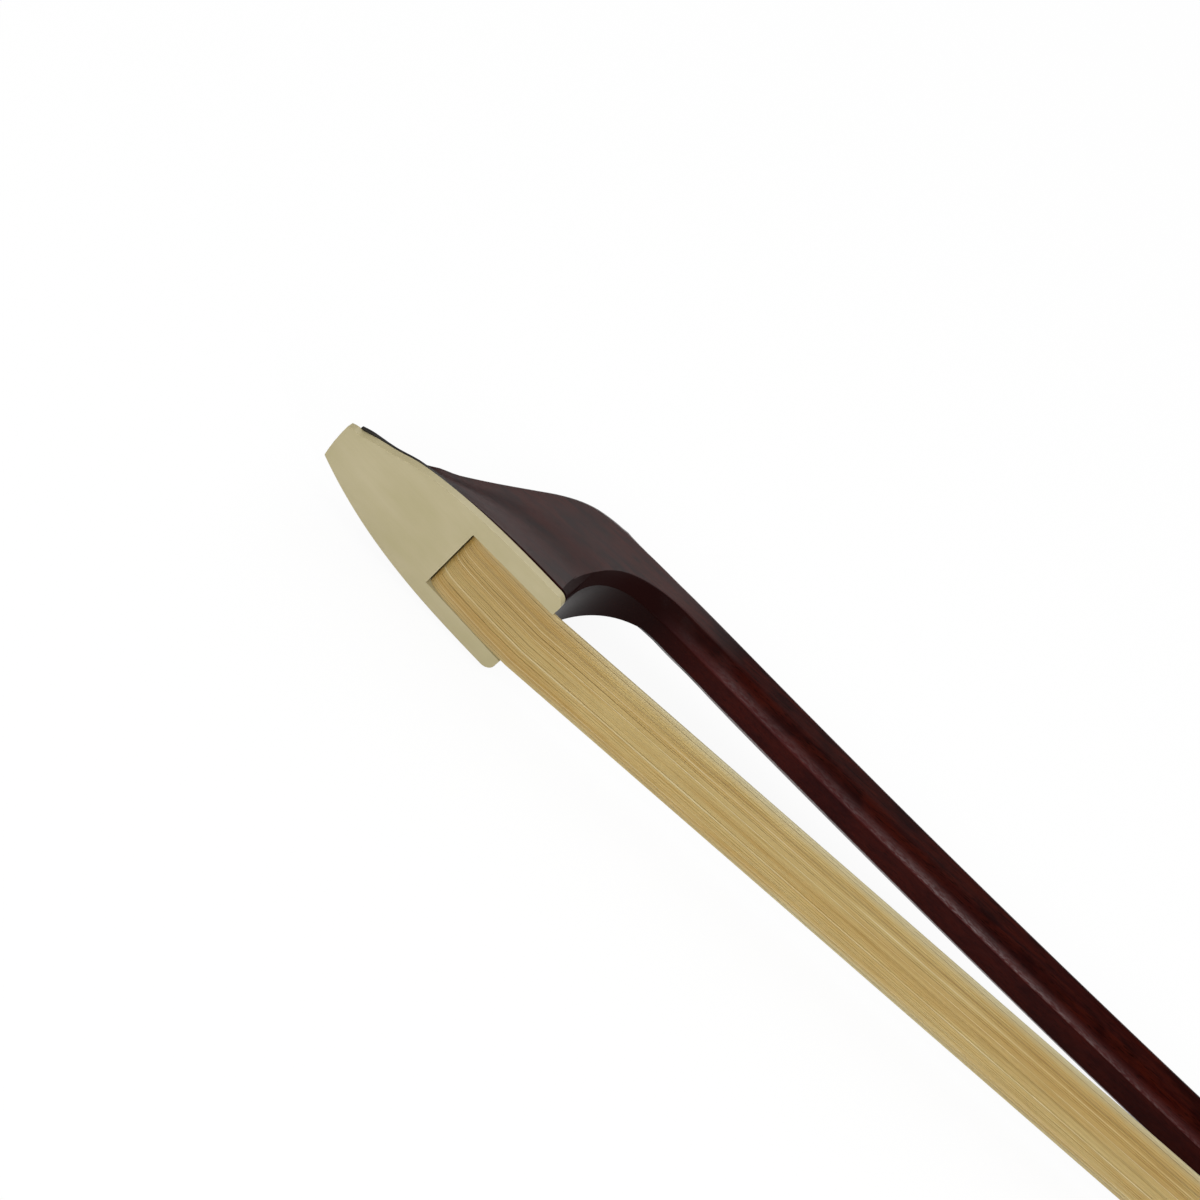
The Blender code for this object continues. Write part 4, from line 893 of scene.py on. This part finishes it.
# The under facet counts as lying at this angle at most; the throat's own gloss; and the share by which the
# highlight along the stick fades, between these distances from the plate
UNDER_TURN = 21.0
SCOOPED_GLOSS = 0.075
FADE, FADE_FROM, FADE_TO = 0.6, 95.0, 140.0

# Between these distances the head's finish gives way to the stick's
HEAD_FINISH_END, STICK_FINISH_START = 15.0, 30.0


def tell_surfaces(piece):
    """Writes into corner values the polish, the painted shade on the throat, and the wear and painted
    highlight tint.
    """
    mesh = piece.data
    for name in SURFACE_VALUES:
        mesh.attributes.new(name, "FLOAT", "CORNER")
    polished, painted_throat_shade_share, wear_and_highlight_share = [mesh.attributes[name] for name in SURFACE_VALUES]
    for face in mesh.polygons:
        middle = (face.center - HOME) / MM
        scooped = in_throat(middle) and (middle.x < THROAT_REACH or face.normal.y < -0.4)
        under = face.normal.y < -0.93
        for corner in face.loop_indices:
            at = (mesh.vertices[mesh.loops[corner].vertex_index].co - HOME) / MM
            away = share_of(at.x, HEAD_FINISH_END, STICK_FINISH_START)
            turn = math.degrees(math.atan2(abs(at.z), axis_y(at.x) - at.y)) if at.x > 0 else 90.0
            turn = min(turn, UNDER_TURN) if under else turn
            polish = float(np.interp(turn, FACET_AT, FACET_GLOSS))
            polish *= 1 - FADE * share_of(at.x, FADE_FROM, FADE_TO)
            lean = mesh.corner_normals[corner].vector.y
            near = SCOOPED_GLOSS if scooped else float(np.interp(lean, FLARE_AT, FLARE_GLOSS))
            polished.data[corner].value = near + (polish - near) * away
            # Painted shade: the throat and the underside just behind it darken, fading out along the stick
            painted_throat_shade_share.data[corner].value = 1.0 - away if scooped else 0.0
            # Rubbed wear and a painted warm tint of the highlight, strongest beside the lower arrises
            wear_and_highlight_share.data[corner].value = away * float(np.interp(turn, WEAR_AND_HIGHLIGHT_AT, WEAR_AND_HIGHLIGHT))


tell_surfaces(stick)
hand_over(stick, "stick", "stick_wood", pernambuco, "stick")


# Tip plate and liner

# How far the plate, its thick nose and the liner are filed in from the plate's full outline: distances along,
# and insets. The side towards the key light is filed back near the nose, so that the black liner shows there
WHOLE = ((0, PLATE_LENGTH), (0.0, 0.0))
FILED_BACK = ((26, 28, 29.2, 30.4, 31.6, 33, 34.3, 35.7, 36.9, 37.4),
              (0, 0.06, 0.19, 0.38, 0.49, 0.46, 0.40, 0.42, 0.46, 0))
NOSE_NEAR = ((0, PLATE_LENGTH), (0.60, 0.60))
LINER_NEAR = ((20, 26, 28, 29.2, 30.4, 31.6, 33, 34.3, 35.7),
              (0.35, 0.02, 0.03, 0.15, 0.34, 0.45, 0.38, 0.20, 0))
LINER_FAR = ((0, 20, 36), (0.35, 0.35, 0.10))
LINER_PLAY = 0.01
STEPS_ALONG = 60


def plate_outline(length=PLATE_LENGTH, near=WHOLE, far=WHOLE):
    """The plate's outline up to a length, each side drawn in by its own table."""
    sides = []
    for drawn_in in (near, far):
        edge = []
        for degrees in range(0, 91, 10):
            turn = math.radians(degrees)
            edge.append((PRONG_CORNER * (1 - math.cos(turn)) + near[1][0],
                         FACE_FOOT + PRONG_CORNER * math.sin(turn) - drawn_in[1][0]))
        for i in range(1, STEPS_ALONG + 1):
            along = PRONG_CORNER + (length - PRONG_CORNER) * i / STEPS_ALONG
            edge.append((along, plate_half(along) - float(np.interp(along, *drawn_in))))
        sides.append(edge + [(length + NOSE_BULGE * 0.7, edge[-1][1] * 0.56)])
    tip = [(length + NOSE_BULGE, 0.0)]
    return sides[0] + tip + [(a, -b) for a, b in reversed(sides[1])]


def hair_slot():
    """Cutter for the slot between the prongs, a little wider at its mouth."""
    mouth = HAIR_TIP_W / 2 + SLOT_PLAY
    edge = [(-1.0, -mouth), (SLOT_LENGTH, -SLOT_HALF), (SLOT_LENGTH, SLOT_HALF), (-1.0, mouth)]
    return cut_from_sheet("hair slot", edge, -1.0, 3.0, PLATE_FLAT)


# The nose is a block trimmed to the outline; it starts inside the plate, because faces that only touch don't
# join
plate = cut_from_sheet("bone_tip_plate", plate_outline(near=FILED_BACK), 0.0, PLATE_T, PLATE_FLAT)
nose_block = [(NOSE_ROOT, 6.0), (NOSE_ROOT, -6.0), (PLATE_LENGTH + 1, -6.0), (PLATE_LENGTH + 1, 6.0)]
nose = cut_from_sheet("nose", nose_block, 0.2, WOOD_BASE, PLATE_FLAT)
cut(nose, cut_from_sheet("nose outline", plate_outline(near=NOSE_NEAR), 0.1, WOOD_BASE + 0.1, PLATE_FLAT),
    "INTERSECT")
cut(plate, nose, "UNION")
round_edges(plate, 0.32, 4, 50)
cut(plate, hair_slot())
smooth(plate, 30)
hand_over(plate, "stick", "bone", bone, "tip_plate")

liner = cut_from_sheet("black_liner", plate_outline(NOSE_ROOT - 0.03, LINER_NEAR, LINER_FAR),
                       PLATE_T + LINER_PLAY, WOOD_BASE - LINER_PLAY, PLATE_FLAT)
cut(liner, hair_slot())
round_edges(liner, 0.05, 2, 50)
smooth(liner, 40)
hand_over(liner, "stick", "ebony", ebony, "tip_liner")


# Hair

rng = random.Random(7)

# Layers of the ribbon: how far each lies over its middle, and how many hairs it has
HAIR_LAYERS = ((-0.31, 92), (-0.23, 92), (-0.13, 86), (0.02, 44), (0.20, 66), (0.30, 84))

# How the hair comes out of the mortise: distances along the plate, and how deep it lies there
LEAVING = ((15.52, 6.0), (15.52, 2.6), (15.47, 1.35), (15.25, 0.80), (14.7, 0.46), (13.7, 0.22), (12.0, 0.07),
           (8.0, 0.0), (4.0, 0.0))
STATIONS = (1.0, 12.0, 28.0, 50.0, 80.0, 120.0, 170.0, 240.0, 330.0, 430.0, 510.0, HAIR_FREE)
IN_MORTISE = 2.0

# How far a hair strays from its own place, in millimetres: from the start, at each station, and at most
STRAY = 0.07
STRAY_STEP = 0.035
STRAY_MOST = 0.3
LAYER_LOOSE = 0.035
HAIR_RADII = (0.078, 0.108)

# How pale the hairs are, from 0 to 1: most by a bell curve, paler at the ribbon's edges, a few dark or white
TONE_MIDDLE, TONE_SPREAD = 0.50, 0.11
TONE_LOW, TONE_HIGH = 0.10, 0.92
EDGE_LIFT = 0.10
DARK_SHARE, DARK_TONES = 0.014, (0.02, 0.09)
WHITE_SHARE, WHITE_TONES = 0.030, (0.93, 1.0)


def hair_line(across, layer, stray):
    """The line of one hair: up along the mortise's front wall, out into the slot, and back to the frog."""
    out = []
    root_half, slot_half = SLOT_HALF - 0.06, HAIR_TIP_W / 2 + 0.03
    thinning = 1 - 0.10 * max(layer + 0.13, 0.0)
    for along, dip in LEAVING:
        share = share_of(along, SLOT_LENGTH, 0.0)
        at = plate_point(along - max(layer + 0.1, 0.0) * 0.6, HAIR_MIDDLE + layer + dip)
        if dip > IN_MORTISE:
            share = -0.6 * (dip - IN_MORTISE) / 4.0
        wide = (root_half + (slot_half - root_half) * share) * thinning
        out.append((at.x, at.y, across * wide + stray * STRAY * min(share + 0.3, 1.0)))
    walk = stray * STRAY
    for x in STATIONS:
        wide = ((HAIR_TIP_W + (HAIR_FROG_W - HAIR_TIP_W) * x / HAIR_FREE) / 2 - 0.08) * thinning
        edge = max(-wide, min(wide, across * wide + walk))
        out.append((x, HAIR_MIDDLE + layer, edge))
        walk = max(-STRAY_MOST, min(STRAY_MOST, walk + rng.uniform(-STRAY_STEP, STRAY_STEP)))
    for x, y in ((HAIR_FREE + 11.5, HAIR_RISE), (HAIR_FREE + HAIR_TAIL, HAIR_RISE)):
        out.append((x, HAIR_MIDDLE + layer + y, across * (HAIR_TAIL_W / 2 - 0.3)))
    return [Vector(p) for p in out]


HAIR_SIDES = 4


def hair_corners(line, radius):
    """Where the corners of one hair go, ring by ring along its line."""
    places = []
    for i, here in enumerate(line):
        way = (line[min(i + 1, len(line) - 1)] - line[max(i - 1, 0)]).normalized()
        side = Vector((0, 0, 1))
        side = (side - way * side.dot(way)).normalized()
        up = way.cross(side)
        for k in range(HAIR_SIDES):
            a = math.tau * k / HAIR_SIDES + 0.4
            places.append(put(*(here + (side * math.cos(a) + up * math.sin(a)) * radius)))
    return places


lines_laid = []
for layer, count in HAIR_LAYERS:
    for k in range(count):
        across = -1 + 2 * (k + rng.uniform(0.25, 0.75)) / count
        stray = rng.uniform(-1, 1)
        tone = rng.gauss(TONE_MIDDLE, TONE_SPREAD) + (EDGE_LIFT if abs(across) > 0.9 else 0.0)
        tone = min(TONE_HIGH, max(TONE_LOW, tone))
        if rng.random() < DARK_SHARE:
            tone = rng.uniform(*DARK_TONES)
        if rng.random() < WHITE_SHARE:
            tone = rng.uniform(*WHITE_TONES)
        line = hair_line(across, layer + rng.uniform(-LAYER_LOOSE, LAYER_LOOSE), stray)
        lines_laid.append((line, rng.uniform(*HAIR_RADII), tone, (across + 1) / 2))

# One hair is drawn out ring by ring; every other one is a copy of it, laid along its own line
places = hair_corners(lines_laid[0][0], 0.09)
one_hair = drawn_through("hair", [places[i:i + HAIR_SIDES] for i in range(0, len(places), HAIR_SIDES)])
one_hair.data.uv_layers.new(name="hair")
hairs = []
for line, radius, tone, across in lines_laid:
    each = another(one_hair)
    for vert, place in zip(each.data.vertices, hair_corners(line, radius)):
        vert.co = place
    for corner in each.data.uv_layers["hair"].data:
        corner.uv = (tone, across)
    hairs.append(each)
bpy.data.objects.remove(one_hair)
hair = joined(hairs)
hair.name = hair.data.name = "bow_hair"
smooth(hair, 180)
hand_over(hair, "stick", "horsehair", horsehair, "hair_ribbon")


# Grip

GRIP_SIDES = 96
GRIP_PLAY = 0.04
UNDER_LEATHER = 0.3
LEATHER_T = 1.0
LAP = math.radians(250), math.radians(292)

# The leather's rings: distances along it, and how much of its thickness stands there
LEATHER_RINGS = ((0.0, 0.55), (0.25, 0.85), (0.7, 1.0), (1.4, 1.0), (8, 1.0), (15, 1.0), (22, 1.0),
                 (28.6, 1.0), (29.3, 1.0), (29.75, 0.85), (30.0, 0.55))


def octagon_reach(angle, apothem, soft=0.12):
    """How far an octagon with cut corners reaches from its middle."""
    off = (angle + math.pi / 8) % (math.pi / 4) - math.pi / 8
    return min(apothem / math.cos(off), apothem / math.cos(math.pi / 8) - soft)


def round_handle(along, angle, reach):
    """A place round the handle's centre line."""
    return HANDLE @ (Vector((along, math.cos(angle) * reach, math.sin(angle) * reach)) * MM)


def leather_reach(angle, grow):
    """How far the leather stands out, a little less where it was pared for its lap."""
    pared = 0.12 if LAP[0] < angle < LAP[1] else 0.0
    return octagon_reach(angle, STICK_HANDLE_R + UNDER_LEATHER + (LEATHER_T - pared * 0.6) * grow, 0.35)


grip_turns = [math.tau * j / GRIP_SIDES for j in range(GRIP_SIDES)]
outside = [[round_handle(down_handle(LEATHER_X + along), turn, leather_reach(turn, grow))
            for turn in grip_turns] for along, grow in LEATHER_RINGS]
inside = [[round_handle(down_handle(LEATHER_X + along), turn, octagon_reach(turn, STICK_HANDLE_R + GRIP_PLAY))
           for turn in grip_turns] for along in (0.0, LEATHER_LENGTH)]
grip = drawn_through("leather_grip", [inside[0]] + outside + [inside[1]])
smooth(grip, 50)
hand_over(grip, "stick", "leather", leather, "thumb_leather")

# The wire's section, half round on top: distances along the handle, and heights over the wood
PER_TURN = 48
WIRE_HIGH = 0.27
WIRE_LOW = 0.30
WIRE_FOOT = 0.06
wire_section = [(WINDING_PITCH * (0.5 - 0.5 * math.cos(math.pi * (k + 0.5) / 4)),
                 WIRE_LOW + WIRE_HIGH * math.sin(math.pi * (k + 0.5) / 4)) for k in range(4)]
wire_section += [(WINDING_PITCH, WIRE_FOOT), (0.0, WIRE_FOOT)]

# One turn of the wire is drawn round the handle; the rest are copies, each laid beside the last. Its end
# faces go, so that the turns join into one wire, which is closed at its two ends
wire_start = down_handle(WINDING_X)
turn_rings = []
for step in range(PER_TURN + 1):
    angle = math.tau * step / PER_TURN
    at = wire_start + WINDING_PITCH * step / PER_TURN
    turn_rings.append([round_handle(at + h, angle, octagon_reach(angle, STICK_HANDLE_R + r))
                       for h, r in wire_section])
one_turn = drawn_through("wire turn", turn_rings)
opened(one_turn)
bpy.ops.mesh.select_all(action="DESELECT")
bpy.ops.object.mode_set(mode="OBJECT")
for face in one_turn.data.polygons:
    face.select = len(face.vertices) > 4
bpy.ops.object.mode_set(mode="EDIT")
bpy.ops.mesh.delete(type="ONLY_FACE")
closed(one_turn)
lay = HANDLE.to_3x3() @ Vector((WINDING_PITCH * MM, 0, 0))
turns = [one_turn]
for k in range(1, WINDING_TURNS):
    each = another(one_turn)
    for vert in each.data.vertices:
        vert.co += lay * k
    turns.append(each)
winding = joined(turns)
winding.name = winding.data.name = "silver_winding"
opened(winding)
bpy.ops.mesh.remove_doubles(threshold=SAME_PLACE)
bpy.ops.mesh.select_all(action="DESELECT")
bpy.ops.mesh.select_non_manifold()
bpy.ops.mesh.edge_face_add()
face_outwards(closed(winding))
smooth(winding, 60)
hand_over(winding, "stick", "winding_strip", silver, "winding")


# Frog, screw and button: the solids' own shapes with their edges worked round, by so many millimetres

WORKED = (
    ("frog_block", "frog", "ebony", ebony, 0.35),
    ("ferrule", "frog", "nickel_silver", nickel, 0.18),
    ("pearl_slide", "frog", "pearl", pearl, 0.12),
    ("heel_plate", "frog", "nickel_silver", nickel, 0.18),
    ("button_front_ring", "screw", "nickel_silver", nickel, 0.12),
    ("button_core", "screw", "ebony", ebony, 0.12),
    ("button_rear_ring", "screw", "nickel_silver", nickel, 0.12),
    ("underslide", "frog", "nickel_silver", nickel, 0.08),
    ("eyelet", "frog", "brass", brass, 0.12),
)
for node, body, slot, mat, edge in WORKED:
    piece = copy_of(node, "worked_" + node)
    round_edges(piece, edge, 3, 30)
    smooth(piece, 35)
    hand_over(piece, body, slot, mat, node)

# Solids whose shape is right as it is
KEPT = {
    maple: ("tip_plug", "frog_plug", "ferrule_wedge"),
    thread: ("tip_hair_knot", "frog_hair_knot"),
    nickel: ("slide_base", "heel_plate_pin_1", "heel_plate_pin_2", "eye_ring_left", "eye_ring_right"),
    pearl: ("pearl_eye_left", "pearl_eye_right", "button_eye"),
    steel: ("underslide_screw_front", "underslide_screw_rear", "adjusting_screw"),
}
for mat, nodes in KEPT.items():
    for node in nodes:
        for slot_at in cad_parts[node].material_slots:
            slot_at.material = mat


# Floor and light

WHITE = colour("#ffffff")
FLOOR_GLOW = 0.92
nothing_selected()
bpy.ops.mesh.primitive_plane_add(size=8.0)
floor = fresh("floor")

# White paper, matt: it takes the shadow of the bow, and shows near white to the camera and in metal and gloss
paper = new_material("White paper floor")
finish(paper, {"Roughness": 0.9, "Specular IOR Level": 0.1, "Base Color": colour("#fbfbfb")})
ray = add(paper, "LightPath").node.outputs
seen = add(paper, "Math", {0: ray["Is Camera Ray"], 1: ray["Is Glossy Ray"]}, operation="MAXIMUM")
seen = add(paper, "Math", {0: seen, 1: ray["Is Transmission Ray"]}, operation="MAXIMUM")
glowing = add(paper, "Math", {0: seen, 1: FLOOR_GLOW}, operation="MULTIPLY")
glow = add(paper, "Emission", {"Color": WHITE, "Strength": 1.0})
matt = paper.node_tree.nodes["Principled BSDF"].outputs["BSDF"]
lit = add(paper, "MixShader", {0: glowing, 1: matt, 2: glow})
give(paper.node_tree.nodes["Material Output"], {"Surface": lit})
floor.data.materials.append(paper)
floor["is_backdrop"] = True

world = bpy.data.worlds.new("Studio")
bpy.context.scene.world = world
world.use_nodes = True
room = world.node_tree.nodes["Background"]
give(room, {"Color": WHITE, "Strength": 0.20})
plain = add(world, "Background", {"Color": WHITE, "Strength": 1.0})
to_camera = add(world, "LightPath", out="Is Camera Ray")
pick = add(world, "MixShader", {0: to_camera, 1: room.outputs["Background"], 2: plain})
give(world.node_tree.nodes["World Output"], {"Surface": pick})

HEAD_AT = put(0, 15)


def softbox(name, place, aim, run, wide, high, power):
    """An area lamp at a place from the head, facing a point; its width lies along run."""
    lamp = bpy.data.objects.new(name, bpy.data.lights.new(name, "AREA"))
    bpy.context.scene.collection.objects.link(lamp)
    lamp.data.shape = "RECTANGLE"
    lamp.data.size = wide
    lamp.data.size_y = high
    lamp.data.energy = power
    back = (Vector(place) - Vector(aim)).normalized()
    along = Vector(run)
    along = (along - back * along.dot(back)).normalized()
    turn = Matrix((along, back.cross(along), back)).transposed().to_4x4()
    lamp.matrix_world = Matrix.Translation(HEAD_AT + Vector(place)) @ turn
    return lamp


softbox("Key softbox", (-0.20, -0.80, 0.56), (0, 0, 0), (1, 0, 0), 0.5, 0.5, 4.6)
softbox("Overhead softbox", (0.10, 0.32, 0.86), (0, 0, 0), (1, 0, 0), 0.9, 1.7, 8.2)
softbox("Strip light", (0.335, -0.44, 0.33), (0.085, 0, 0), (0.2, -0.07, -0.18), 0.30, 0.05, 0.55)

bpy.context.scene.view_settings.view_transform = "Standard"

size = {"cad": [list(map(float, corner)) for corner in cad_box],
        "visual": [list(map(float, corner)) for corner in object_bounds()]}
